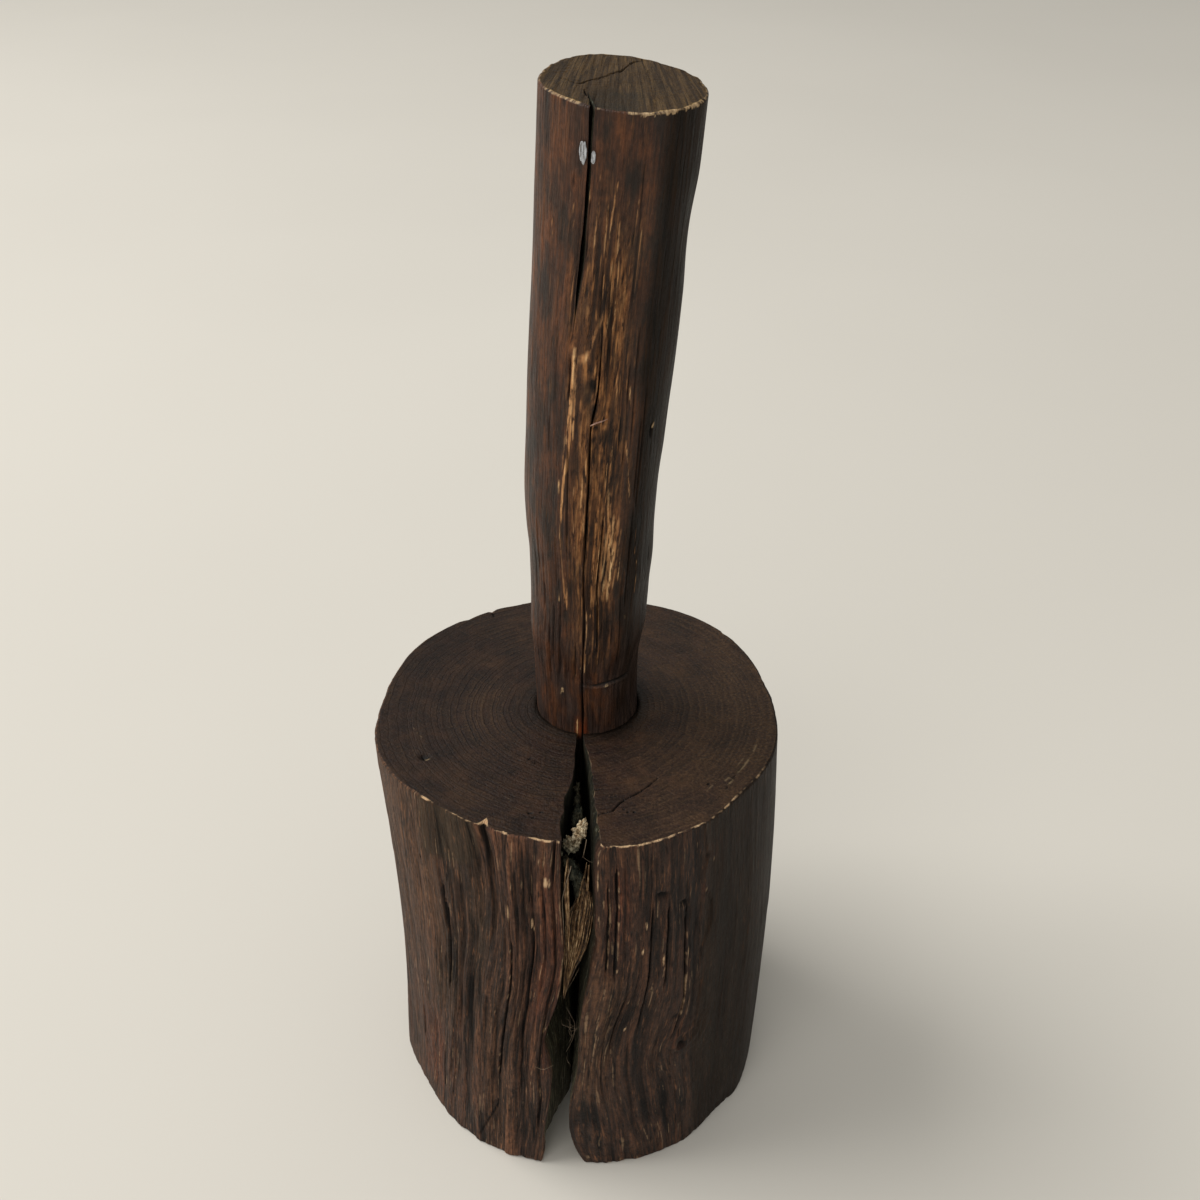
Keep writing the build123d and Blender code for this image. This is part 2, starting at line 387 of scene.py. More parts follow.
def thinned(count, share, plan):
    """Column numbers kept in a ring; plan pairs a limit on share with every how many to keep."""
    keep = next(step for limit, step in plan if share < limit)
    return np.unique(np.r_[np.arange(0, count, keep), count - 1])


# ------------------------------------------------------------------ material helpers


def rgb(*display):
    """A display colour, 0..255, as linear values."""
    out = []
    for c in display:
        c = c / 255
        out.append(c / 12.92 if c <= 0.04045 else ((c + 0.055) / 1.055) ** 2.4)
    return tuple(out)


class Shader:
    """A material whose colour is laid on in layers. Colour tuples are display colours."""

    def __init__(self, name):
        self.mat = bpy.data.materials.new(name)
        self.mat.use_nodes = True
        self.tree = self.mat.node_tree
        self.tree.nodes.clear()
        output = self.node("OutputMaterial")
        self.bsdf = self.node("BsdfPrincipled")
        self.link(self.bsdf.outputs[0], output.inputs[0])

    def link(self, source, socket):
        """Connects a socket, or sets a number or a tuple as the value."""
        if isinstance(source, (int, float)):
            socket.default_value = source
        elif isinstance(source, tuple):
            socket.default_value = source if socket.type == "VECTOR" else (*source, 1.0)
        else:
            self.tree.links.new(source, socket)

    def node(self, kind, *inputs, **settings):
        """Adds a node; inputs fill its sockets in order."""
        node = self.tree.nodes.new("ShaderNode" + kind)
        for name, value in settings.items():
            setattr(node, name, value)
        for source, socket in zip(inputs, node.inputs):
            self.link(source, socket)
        return node

    def attr(self, name):
        output = "Vector" if name == "grain" else "Fac"
        return self.node("Attribute", attribute_name=name).outputs[output]

    def point(self, x=1000.0, y=1000.0, z=1000.0):
        """The object coordinate scaled along each axis; 1000 gives mm."""
        return self.vector("MULTIPLY", self.node("TexCoord").outputs["Object"], (x, y, z))

    def vector(self, operation, first, second):
        return self.node("VectorMath", first, second, operation=operation).outputs[0]

    def stretch(self, vector, sizes, shift=None):
        """Divides a vector by feature sizes in mm (infinite: flat) and may shift it."""
        out = self.vector("MULTIPLY", vector, tuple(1 / size for size in sizes))
        return self.vector("ADD", out, shift) if shift else out

    def noise(self, vector, scale=1.0, detail=3.0, rough=0.55):
        node = self.node("TexNoise")
        values = {"Vector": vector, "Scale": scale, "Detail": detail, "Roughness": rough}
        for name, value in values.items():
            self.link(value, node.inputs[name])
        return node.outputs["Fac"]

    def streaks(self, grain, wide, long, detail=4.0, rough=0.6):
        """Noise drawn out along the grain."""
        return self.noise(self.stretch(grain, (wide, long, wide)), detail=detail, rough=rough)

    def flat_noise(self, vector, wide, tall, shift=None, detail=3, rough=0.6):
        """Noise that doesn't change with height."""
        vector = self.stretch(vector, (wide, tall, math.inf), shift)
        return self.noise(vector, detail=detail, rough=rough)

    def ramp(self, factor, *stops):
        """A stop is a position and a display colour, or a position and a linear grey."""
        node = self.node("ValToRGB", factor)
        elements = node.color_ramp.elements
        while len(elements) > 1:
            elements.remove(elements[-1])
        for k, (position, *color) in enumerate(stops):
            if k:
                element = elements.new(position)
            else:
                element = elements[0]
                element.position = position
            element.color = (*(rgb(*color) if len(color) == 3 else color * 3), 1)
        return node.outputs[0]

    def mix(self, factor, first, second, mode="MIX"):
        node = self.node("Mix", data_type="RGBA", blend_type=mode)
        for k, source in ((0, factor), (6, first), (7, second)):
            self.link(source, node.inputs[k])
        return node.outputs[2]

    def math(self, operation, *inputs, clamp=False):
        return self.node("Math", *inputs, operation=operation, use_clamp=clamp).outputs[0]

    def times(self, first, second, clamp=False):
        return self.math("MULTIPLY", first, second, clamp=clamp)

    def plus(self, first, second, clamp=False):
        return self.math("ADD", first, second, clamp=clamp)

    def minus(self, first, second):
        return self.math("SUBTRACT", first, second)

    def larger(self, first, second):
        return self.math("MAXIMUM", first, second)

    def affine(self, value, slope, base):
        return self.math("MULTIPLY_ADD", value, slope, base)

    def away(self, value, centre):
        """Distance of a value from a centre."""
        return self.math("ABSOLUTE", self.minus(value, centre), 0.0)

    def radius(self, x, y):
        return self.math("SQRT", self.plus(self.times(x, x), self.times(y, y)), 0.0)

    def remap(self, value, span, to=(0, 1)):
        """Takes the span of values linearly to another, clamped."""
        return self.node("MapRange", value, *span, *to).outputs[0]

    def window(self, value, rise, drop):
        """1 between two ramps, each given as (where 0, where 1)."""
        return self.times(self.remap(value, rise), self.remap(value, drop))

    def split(self, vector):
        return self.node("SeparateXYZ", vector).outputs

    def join(self, x, y=0.0):
        return self.node("CombineXYZ", x, y).outputs[0]

    def lay(self, factor, color):
        """Mixes a colour over what is there."""
        self.color = self.mix(factor, self.color,
                              rgb(*color) if isinstance(color, tuple) else color)

    def tint(self, mask, color, over, by):
        """Lays a colour on; as the mask crosses the span over, its strength follows by."""
        self.lay(self.remap(mask, over, by), color)

    def tone(self, value):
        """Multiplies the colour."""
        self.color = self.mix(1.0, self.color, value, "MULTIPLY")

    def finish(self, rough, spec, height=None, strength=None, distance=None, gain=None):
        """Connects the colour and surface; strength and distance (metres) are the bump's."""
        if gain:
            self.tone(gain)
        self.link(self.color, self.bsdf.inputs["Base Color"])
        self.link(rough, self.bsdf.inputs["Roughness"])
        self.link(spec, self.bsdf.inputs["Specular IOR Level"])
        if height:
            node = self.node("Bump")
            for name, value in (("Strength", strength), ("Distance", distance),
                                ("Height", height)):
                self.link(value, node.inputs[name])
            self.link(node.outputs[0], self.bsdf.inputs["Normal"])
        return self.mat


# ------------------------------------------------------------------ the log's outline

# radius every 15 degrees, counter-clockwise from +X, at the top and the bottom
TOP_R = [64.0, 63.6, 65.3, 66.6, 66.4, 65.3, 64.6, 64.1, 64.1, 64.9, 65.7, 64.4,
         64.6, 66.4, 66.7, 64.9, 64.1, 63.9, 64.6, 67.0, 67.2, 65.0, 64.9, 65.0]
BOT_R = [66.4, 66.0, 66.0, 65.5, 65.0, 64.6, 64.4, 64.2, 64.6, 64.8, 64.2, 63.8,
         64.3, 64.4, 62.8, 64.1, 65.1, 65.6, 64.5, 65.5, 66.6, 65.5, 67.3, 66.4]

# the split's left and right lips: height, x from the pith
EDGE_L = [(0, -10.7), (1.8, -10.4), (8, -9.6), (14.7, -9.8), (25.9, -8.5), (38.3, -7.3),
          (46.2, -7.0), (53.8, -7.9), (62.7, -9.1), (70.3, -7.8), (78, -5.7), (85.3, -4.2),
          (94.5, -3.3), (105.3, -2.7), (118.5, -3.2), (128.2, -3.6), (144.9, -3.5), (150.6, -3.3)]
EDGE_R = [(0, 4.4), (1.6, 3.6), (6, 1.6), (11.1, 0.1), (21.1, -1.2), (29.3, -1.2), (37.5, 0.1),
          (46.9, 1.3), (58.5, 2.1), (68.2, 2.1), (77, 2.8), (84.3, 3.7), (92.5, 5.1),
          (102.7, 6.4), (111.4, 7.5), (115.2, 6.9), (123, 7.0), (131.4, 6.7), (137.6, 6.6),
          (146.8, 6.8), (149.0, 7.4), (150.6, 8.3)]

# grain line number: (height, angle from the front) along it
GRAIN = {
    10.5: [(0, 10.5), (15, 8.6), (30, 6.4), (45, 5.0), (56, 5.0), (68, 6.0), (80, 8.0),
           (91, 9.4), (103, 9.9), (116, 10.3), (129, 10.7), (150.6, 10.8)],
    14.5: [(0, 14.6), (20, 12.2), (35, 10.0), (45, 8.7), (55.6, 8.4), (68, 9.4), (80, 11.8),
           (91, 13.7), (110, 14.5), (150.6, 14.6)],
    20.0: [(0, 23.5), (12, 21.6), (27, 18.7), (44, 16.3), (54, 15.6), (64, 15.8), (73.6, 16.8),
           (84, 18.0), (95, 19.2), (106, 19.5), (117, 20.0), (150.6, 20.4)],
    24.0: [(0, 27.6), (12, 26.2), (27, 23.7), (44, 21.2), (54, 20.0), (64, 20.6), (75, 21.9),
           (88, 23.6), (110, 24.2), (150.6, 24.6)],
    30.0: [(0, 33.0), (27, 30.5), (40, 28.6), (50, 26.4), (57.2, 25.6), (65, 27.6), (72, 29.4),
           (80, 30.2), (105, 30.0), (150.6, 30.0)],
    36.0: [(0, 39.0), (27, 36.4), (45, 34.4), (57.2, 33.9), (68, 35.2), (82, 35.8),
           (105, 36.0), (150.6, 36.0)],
    50.0: [(0, 51.5), (45, 49.6), (57, 49.2), (90, 50.0), (150.6, 50.0)],
    80.0: [(0, 80.0), (150.6, 80.0)],
    130.0: [(0, 128.5), (70, 131.0), (150.6, 130.0)],
    180.0: [(0, 181.5), (75, 179.0), (150.6, 180.0)],
    230.0: [(0, 228.0), (60, 231.0), (150.6, 230.0)],
    270.0: [(0, 270.0), (150.6, 270.0)],
    302.0: [(0, 300.0), (24, 300.5), (45, 301.0), (120, 302.0), (150.6, 304.0)],
    320.0: [(0, 315.0), (30, 316.0), (50, 317.0), (74.6, 318.4), (88, 319.4), (98, 320.1),
            (118, 319.8), (150.6, 320.0)],
    336.0: [(0, 331.5), (30, 331.0), (50, 331.0), (70, 332.0), (87, 333.6), (99.6, 335.4),
            (111, 336.6), (122, 337.0), (138, 336.6), (146, 335.9), (150.6, 335.2)],
    341.5: [(0, 336.5), (38, 336.1), (53, 336.8), (64, 337.8), (76.6, 339.3), (86, 340.5),
            (98, 341.2), (107, 341.5), (122, 341.5), (150.6, 341.8)],
    347.7: [(0, 343.0), (40, 343.0), (59, 343.4), (76.6, 344.8), (91, 346.2), (109, 347.7),
            (126, 347.8), (150.6, 348.8)],
    353.9: [(0, 348.6), (20, 349.1), (33, 349.1), (46, 348.6), (61, 349.1), (78, 350.9),
            (90, 352.8), (104, 353.9), (127, 353.9), (135, 354.4), (150.6, 355.4)],
}
RIGHT_LIP, LEFT_LIP = 6.0, 357.2         # grain lines of the split's lips
LOG_ARC = 1.135                          # mm along the side for each degree of grain line
# grain lines with extra columns, for crisp drying checks
CRISP_LINES = (8.6, 10.5, 14.5, 20.0, 24.0, 30.0, 98.0, 124.0, 151.0, 197.0, 211.0, 236.0,
               264.0, 309.0, 320.0, 341.5, 347.7)

# how far each wall has opened at each share of the way from the mortise to the side
OPENING_L = [(0, 0), (.2, .03), (.40, .12), (.50, .30), (.60, .56), (.72, .82), (.84, .98),
             (1.0, 1.0)]
OPENING_R = [(0, 0), (.1, .10), (.2, .26), (.34, .44), (.48, .56), (.65, .67), (.8, .76),
             (.93, .87), (1.0, 1.0)]
# steps of the split walls and sawn ends, as shares of the way in from the side
INWARD = np.r_[0, 0.006, 0.014, 0.026, np.linspace(0.045, 0.52, 27), np.linspace(0.545, 1.0, 15)]
MORTISE_COLUMNS = 46


def log_radius(angle, z):
    """The log's radius; angle is in degrees from the front, positive towards +X."""
    t = unit(z / LOG_H)
    return periodic(TOP_R, angle - 90) * t + periodic(BOT_R, angle - 90) * (1 - t)


def log_centre_x(z):
    return PITH[0] + 2.1 * np.sin(np.pi * unit(z / LOG_H))


def grain_angle(lines, levels):
    """Angle of each grain line at each level, level by line."""
    centre = log_centre_x(levels) - PITH[0]

    def lip(edge, near):
        x = curve(edge, levels) - centre
        return np.degrees(np.arcsin(x / log_radius(near, levels)))

    keys = sorted(GRAIN)
    table = [lip(EDGE_R, 5.0)]
    table += [curve(GRAIN[key], levels) for key in keys]
    table = np.array(table + [360 + lip(EDGE_L, -4.0)])
    keys = [RIGHT_LIP] + keys + [LEFT_LIP]
    return np.array([hermite(keys, row, lines) for row in table.T])


def log_levels():
    """Row heights, dense at both sawn rims."""
    rim = np.array([0.0, 0.16, 0.42, 0.8, 1.5])
    return np.r_[rim, np.linspace(3.2, LOG_H - 3.2, 84), LOG_H - rim[::-1]]


def log_lines():
    """Grain lines of the columns, from the right lip round the back to the left lip."""
    lines = []
    at = RIGHT_LIP
    while at < LEFT_LIP:
        lines.append(at)
        off = min(at, 360 - at)
        step = 0.34 if off < 48 else (0.50 if off < 75 else (0.85 if off < 105 else 1.5))
        at += 0.27 if off < 9.0 else step
    lines = np.array(lines[:-1] + [LEFT_LIP])
    for at in CRISP_LINES:
        lines = lines[np.abs(lines - at) > 0.45]
        lines = np.sort(np.r_[lines, at - 0.42, at - 0.17, at, at + 0.17, at + 0.42])
    return lines[np.r_[True, np.diff(lines) > 0.02]]


# ------------------------------------------------------------------ the log's relief

# valleys: line, low end, high end, width, depth, seed, fade, side with a ledge
GROOVES = [
    (-6.1, 14, 158, 0.85, 1.9, 211, 12, 1), (-9.2, 56, 152, 0.50, 1.0, 213),
    (-12.3, 26, 148, 0.75, 1.35, 221, 12, 1), (-14.4, 46, 150, 0.42, 0.8, 223),
    (-16.2, 60, 142, 0.55, 0.85, 225), (-20.6, 30, 116, 0.50, 0.9, 227),
    (3.6, 0, 1, 0.1, 0.0, 229),          # no depth, only a trace of shade
    (12.4, 30, 150, 0.40, 0.55, 293), (16.6, 20, 110, 0.5, 0.6, 295),
    (18.4, 10, 70, 0.5, 0.6, 297), (25.2, 40, 84, 0.6, 0.6, 299),
    (-30.5, 10, 118, 1.6, 0.8, 231), (-34.5, 20, 130, 1.0, 0.5, 235),
    (-18.5, 8, 60, 0.8, 0.6, 241), (9.4, 88, 138, 1.0, 0.7, 245),
    (21.6, 14, 92, 1.3, 0.95, 251), (14.5, 50, 96, 1.1, 0.6, 255),
    (27.0, 4, 50, 1.6, 0.7, 259), (33.5, 62, 124, 1.5, 0.45, 263),
    (118, 10, 140, 1.6, 0.9, 271), (131, 40, 163, 1.2, 0.7, 273),
    (-112, -12, 110, 1.5, 0.9, 275), (-140, 20, 163, 1.8, 1.0, 277),
    (168, -12, 90, 1.3, 0.7, 279), (-75, 30, 125, 1.1, 0.5, 281), (84, 10, 100, 1.4, 0.5, 283),
]
# drying checks: line, low end, high end, width, depth, wander, seed, fade, pale lip, its side
CHECKS = [
    (-40.0, 70, 112, 0.85, 3.0, 0.12, 301, 5), (-40.9, 98, 119, 0.7, 1.5, 0.5, 305, 4),
    (-18.5, 36, 108, 0.36, 1.9, 0.12, 309, 8, 0.4, -1),
    (-18.7, 100, 125, 0.24, 0.9, 0.12, 313, 3, 0.9, -1),
    (-12.3, 70, 112, 0.30, 1.2, 0.1, 317, 8), (10.5, 94, 143, 0.34, 1.7, 0.08, 321, 4, 0.5),
    (8.6, 95, 138, 0.26, 1.1, 0.08, 325, 5, 0.55),
    (20.0, 68, 126, 0.32, 1.5, 0.08, 329, 6, 0.3, -1),
    (24.0, 86, 125, 0.36, 1.6, 0.08, 333, 5, 0.3, -1),
    (30.0, 62, 121, 0.42, 2.4, 0.08, 337, 5, 0.42),
    (14.5, 60, 88, 0.26, 0.9, 0.1, 341, 5, 0.4, -1), (-57.5, 22, 45, 0.3, 1.1, 0.2, 345, 4),
    (-51.0, 26, 49, 0.35, 1.2, 0.2, 349, 4), (-42.3, 12, 40, 0.35, 1.2, 0.2, 353, 5),
    (124, 30, 96, 0.5, 2.0, 0.3, 357, 9), (-124, 62, 137, 0.5, 2.0, 0.3, 361, 9),
    (151, -4, 58, 0.6, 2.4, 0.3, 365, 9, 0.4), (-163, 88, 155, 0.55, 2.2, 0.3, 369, 9, 0.4),
    (-96, 18, 70, 0.4, 1.4, 0.3, 373, 8), (98, 70, 140, 0.4, 1.4, 0.3, 377, 8),
]
# pale chips and flecks: line, height, half width, half height, strength
CHIPS = [
    (-8.4, 134.0, .95, 1.5, 1.0), (-7.5, 133.6, .45, 1.9, .9), (-12.6, 115.6, .42, 2.3, 1.0),
    (-12.2, 112.6, .3, 1.6, .8), (-17.3, 130.5, .25, 1.6, .55), (-10.2, 142.0, .35, 1.9, .55),
    (-9.4, 139.2, .25, 1.4, .5), (18.3, 117.2, .36, 2.1, 1.0), (17.6, 105.5, .3, 2.0, .9),
    (23.2, 100.4, .34, 1.9, .95), (30.9, 98.6, .3, 2.1, .75), (7.6, 128.0, .36, 1.6, .42),
    (30.6, 88.0, .3, 2.0, .5), (19.6, 130.5, .9, .5, .35), (29.4, 68.5, .9, .8, .75),
    (28.4, 66.9, .5, .6, .7), (31.0, 65.0, .5, .9, .45), (17.0, 71.0, .25, 1.5, .6),
    (15.8, 83.0, .25, 1.6, .45), (36.2, 122.4, .5, 1.2, .34), (39.6, 137.6, .5, .5, .45),
    (39.0, 133.6, .4, 1.0, .32), (-23.6, 128.0, .2, 1.2, .25), (-5.8, 67.5, .7, .55, .9),
    (-4.6, 69.0, .5, .5, .6), (-9.0, 41.5, .25, 1.0, .6), (-8.7, 46.0, .22, 1.2, .5),
    (96, 60, .5, 1.5, .6), (-102, 96, .4, 2.0, .7), (143, 118, .5, 1.6, .6),
    (-150, 44, .4, 2.0, .6), (172, 100, .4, 1.8, .5),
]
# torn nicks: line, height, half width, half height, depth
NICKS = [(22.4, 128.2, 2.0, 1.2, 1.6), (29.2, 121.4, 1.6, 1.3, 1.3), (28.7, 70.5, 1.3, 1.0, 0.7),
         (33.4, 110.0, .5, 1.6, .9), (36.4, 137.5, 1.2, 1.0, .5), (-49.6, 123.0, .5, 1.4, 1.0),
         (-38.6, 122.4, .8, 1.4, .5)]
# rust-red patches: line, height, half width, half height, fullness, seed
RUST = [(38.5, 136.5, 2.4, 4.2, 1.3, 191), (35.6, 122.5, 1.5, 4.5, 1.2, 193)]
# slanting crack low on the left of the split: line, height
SLANT_CRACK = [(-19.1, 27.0), (-19.4, 23.0), (-21.6, 17.0), (-23.9, 10.2), (-26.0, 4.0)]
# bare wood along the top rim: start line, end line, strength
LOG_RIM = [(-1, 8.5, 1.0), (8.5, 16, .85), (16, 28, .95), (28, 36, .8), (36, 43, .5),
           (43, 50, .95), (50, 55.5, .55), (55.5, 64, .75), (64, 76, .2), (-46.5, -41.5, .95),
           (-36.5, -30, .9), (-29.5, -27.5, .5), (-26.5, -22.6, 1.0), (-21.5, -17.5, .75),
           (-12.8, -6.8, .85), (-6.0, -3.4, .8), (-90, -62, .16), (100, 140, .3),
           (-170, -120, .3)]
KNOT_ANGLE, KNOT_Z = 29.75, 57.2


def fibre_relief(skin):
    """Swells, fibre ridges, hair-thin gaps and ledges, and two smooth areas at the left."""
    line, z, arc, wander = skin.line, skin.z, skin.arc, skin.wander
    rough = np.clip(1 - 0.75 * skin.right - 0.55 * skin.left - 0.1 * skin.back, 0.15, 1)
    ridges = (0.30 * fbm((arc + wander) / 5.2, z / 95, 31, 2)
              + 0.30 * fbm((arc + wander) / 2.1, z / 70, 41, 2))
    wide = noise((arc + wander) / 1.35, z / 48, 51)
    thin = noise((arc + 0.6 * wander) / 0.8, z / 30, 52)
    hair = noise((arc + 0.4 * wander) / 0.52, z / 17, 53)
    wide_gap = gauss(wide, 0.24) * unit(0.6 + 0.9 * noise(arc / 5, z / 20, 54))
    thin_gap = gauss(thin, 0.26) * unit(0.3 + 0.9 * noise(arc / 4, z / 14, 55))
    fine = 0.15 * wide + 0.08 * thin + 0.05 * hair - 0.24 * wide_gap - 0.15 * thin_gap
    vary = 0.75 + 0.5 * fbm(arc / 14, z / 28, 61, 2)
    share = (0.22 + 0.78 * rough) * vary
    skin.out = 0.35 * fbm(arc / 15, z / 60, 11, 2) + ridges * rough * vary + fine * share
    skin.mark("hollow_shade", unit((0.62 * wide_gap + 0.45 * thin_gap) * share) * (0.4 + 0.6 * rough))
    steps, edges = terraces(2.9 * fbm((arc + 1.3 * wander) / 4.6, z / 80, 35, 2), 0.1, 0.11)
    edges = edges * unit(0.55 + 0.8 * noise(arc / 6, z / 26, 37))
    skin.out += (0.42 * steps * unit(rough - 0.1) * (0.15 + 0.85 * smooth(2, 18, z))
                 * (0.2 + 0.8 * smooth(1, 10, LOG_H - z)))
    skin.mark("hollow_shade", 0.60 * edges * unit(rough - 0.15))
    skin.mark("crest", unit(0.5 + (1.4 * fine + 0.8 * ridges) * share * 1.5))

    # smooth facet under the rim, and a calmer plane below it
    facet_foot = 126 + 0.35 * (line + 44) + 6 * smooth(-33, -25, line)
    facet = band(line, -49.5, -46.5, -27.5, -25.0) * smooth(-1.0, 3.0, z - facet_foot)
    skin.out = skin.out * (1 - 0.86 * facet) - 0.5 * facet * band(line, -50, -36, -36, -25)
    skin.mark("satin", facet)
    plane = band(line, -51, -46, -27, -23) * smooth(40, 70, z) * (1 - facet)
    skin.mark("satin", 0.5 * plane * unit(0.8 + 0.6 * noise(arc / 4, z / 30, 65)))
    skin.out -= 0.45 * plane * fine * share


def cut_groove(skin, line, low, high, width, depth, seed, fade=12.0, ledge=0):
    """A wide valley along a grain line; returns its mask."""
    z = skin.z
    off = (skin.line - line) * LOG_ARC - 0.35 * noise(z / 17, 1, seed)
    along = band(z, low, low + fade, high - fade, high) * (0.8 + 0.3 * noise(z / 13, 2, seed + 3))
    cut = np.exp(-np.abs(off / width) ** 3)
    if ledge:
        cut = np.where(off * ledge > 0, np.exp(-np.abs(off / (0.35 * width)) ** 3), cut)
    skin.out -= depth * cut * along
    patchy = unit(0.85 + 0.5 * noise(skin.arc / 1.1, z / 18, seed + 7))
    skin.mark("hollow_shade", 0.82 * cut ** 1.5 * along * patchy)
    return cut * along


def cut_check(skin, line, low, high, width, depth, wander, seed, fade, lip=0.0, side=1):
    """A drying check along a grain line."""
    z = skin.z
    off = (skin.line - line) * LOG_ARC - wander * noise(z / 11, 0, seed)
    along = band(z, low, low + fade, high - fade, high)
    half = width * (0.88 + 0.22 * noise(z / 6, 3, seed + 1)) * (0.25 + 0.75 * along)
    cut = unit(1 - (np.abs(off) / np.maximum(half, 0.05)) ** 2) ** 0.7 * (along > 0.001)
    skin.out -= depth * cut * (0.3 + 0.7 * along)
    skin.mark("hollow_shade", unit(cut * 1.3) * along)
    if lip:
        edge = bump(off * side, 0.85 * width + 0.12, 0.24) * along
        skin.mark("pale", lip * unit(edge * (0.25 + 1.0 * noise(z / 2.3, 5, seed + 2))))
        skin.out += 0.12 * bump(off * side, width + 0.2, 0.5) * along


def cuts_and_scar(skin):
    line, z, arc = skin.line, skin.z, skin.arc
    # the valley that ends in the notch of the top rim is worn smooth
    notch_valley = cut_groove(skin, -24.4, 100, 163, width=1.5, depth=1.25, seed=201, fade=14,
                              ledge=-1)
    skin.mark("satin", 0.8 * notch_valley)
    for groove in GROOVES:
        cut_groove(skin, *groove)
    for check in CHECKS:
        cut_check(skin, *check)
    # torn scar at the lower left
    scar = band(line, -59.5, -56, -44.5, -42) * smooth(6, 14, z)
    scar = scar * fall(40, 54, z - 0.5 * (line + 52))
    skin.out -= 0.55 * scar * (0.6 + 0.6 * fbm(arc / 2.2, z / 7, 71, 3))
    skin.mark("red", 0.75 * scar)


def split_edge_wear(skin):
    """Rounding and bare wood along both lips of the split, and a painted highlight along the left
    one.
    """
    line, z = skin.line, skin.z
    at_right = line > 0
    from_right = np.clip((line - RIGHT_LIP) * LOG_ARC, 0, None)
    from_left = np.clip((LEFT_LIP - 360 - line) * LOG_ARC, 0, None)
    off = np.where(at_right, from_right, from_left)
    radius = np.where(at_right, 0.55, 0.8) * (0.8 + 0.5 * noise(z / 9, 7, 81))
    skin.out -= radius * unit(1 - off / np.maximum(radius * 1.2, 0.2)) ** 2
    bare = bump(from_right, 0.56, 0.25) * smooth(70, 134, z) * at_right
    bare = bare * np.clip(0.62 + 1.1 * noise(z / 1.9, 9, 88), 0.12, 1)
    bare = bare * unit(0.30 + 0.9 * noise(z / 5, 4, 85) - 0.5 * noise(z / 1.5, 4, 86)
                       + 0.5 * smooth(136, 146, z))
    skin.mark("pale", 0.62 * bare)
    # the left lip's pale line is partly a painted highlight on its rounded edge
    patchy = unit(fbm(z / 5.0, 0, 83, 3) + 0.30)
    bare = bump(from_left, 0.6, 0.42) * band(z, 70, 90, 136, 145) * ~at_right
    skin.mark("pale", 0.7 * bare * unit(-0.15 + 1.1 * patchy))


def colour_patches(skin):
    """Pale fibre bundles, and red, tan and rusty areas."""
    line, z, arc, wander = skin.line, skin.z, skin.arc, skin.wander
    at_right = line > 0

    def patch(centre, half, *heights):
        return bump(line, centre, half) * band(z, *heights)

    fleck = unit(fbm((arc + wander) / 0.43, z / 15, 87, 2) * 2.4 - 0.40)
    skin.mark("pale", 0.36 * patch(9.0, 7.0, 28, 52, 78, 104) * at_right * fleck)
    skin.mark("pale", 0.35 * patch(13.5, 5.0, 24, 36, 56, 76) * at_right * fleck)
    fleck = unit(fbm((arc + wander) / 0.48, z / 12, 187, 2) * 3.2 - 1.35)
    skin.mark("pale", 0.30 * (1 - skin.right) * (1 - skin.back) * fleck)
    streaky = unit(0.65 + 0.6 * fbm((arc + wander) / 2.4, z / 40, 89, 2))
    skin.mark("red", 0.95 * patch(-8.8, 4.6, 60, 82, 128, 146) * streaky)
    skin.mark("red", 0.8 * patch(-4.2, 2.0, 36, 60, 120, 140))
    skin.mark("red", 0.75 * patch(11.5, 5.5, 84, 104, 136, 146))
    # the tan of the left flank, growing upwards, is partly painted light, on the side towards the
    # lamp
    rising = smooth(40, 128, z + 9 * noise(arc / 4, z / 22, 188))
    skin.mark("tan", skin.left * (0.08 + 0.46 * rising))
    skin.mark("tan", 0.55 * patch(9.5, 9.0, 20, 50, 88, 116) * at_right)
    skin.mark("tan", 0.35 * bump(line, -20, 9) * smooth(96, 60, z))
    rust = np.zeros_like(z)
    for place, height, wide, tall, full, seed in RUST:
        spot = full - np.hypot((line - place) * LOG_ARC / wide, (z - height) / tall)
        rust = np.maximum(rust, unit(spot + 0.5 * noise(arc / 1.2, z / 2.0, seed)))
    skin.mark("red", 0.9 * rust)
    skin.mask["satin"] *= 1 - 0.8 * rust
    for k, (place, height, wide, tall, strength) in enumerate(CHIPS):
        off, rise = (line - place) * LOG_ARC, z - height
        far = (off / (0.80 * wide)) ** 2 + (rise / (0.88 * tall)) ** 2
        chip = unit(1.25 - far - 0.7 * noise(off / 0.42 + 40 * k, rise / 0.7, 91))
        skin.mark("pale", strength * chip)
        skin.out -= 0.22 * chip * strength


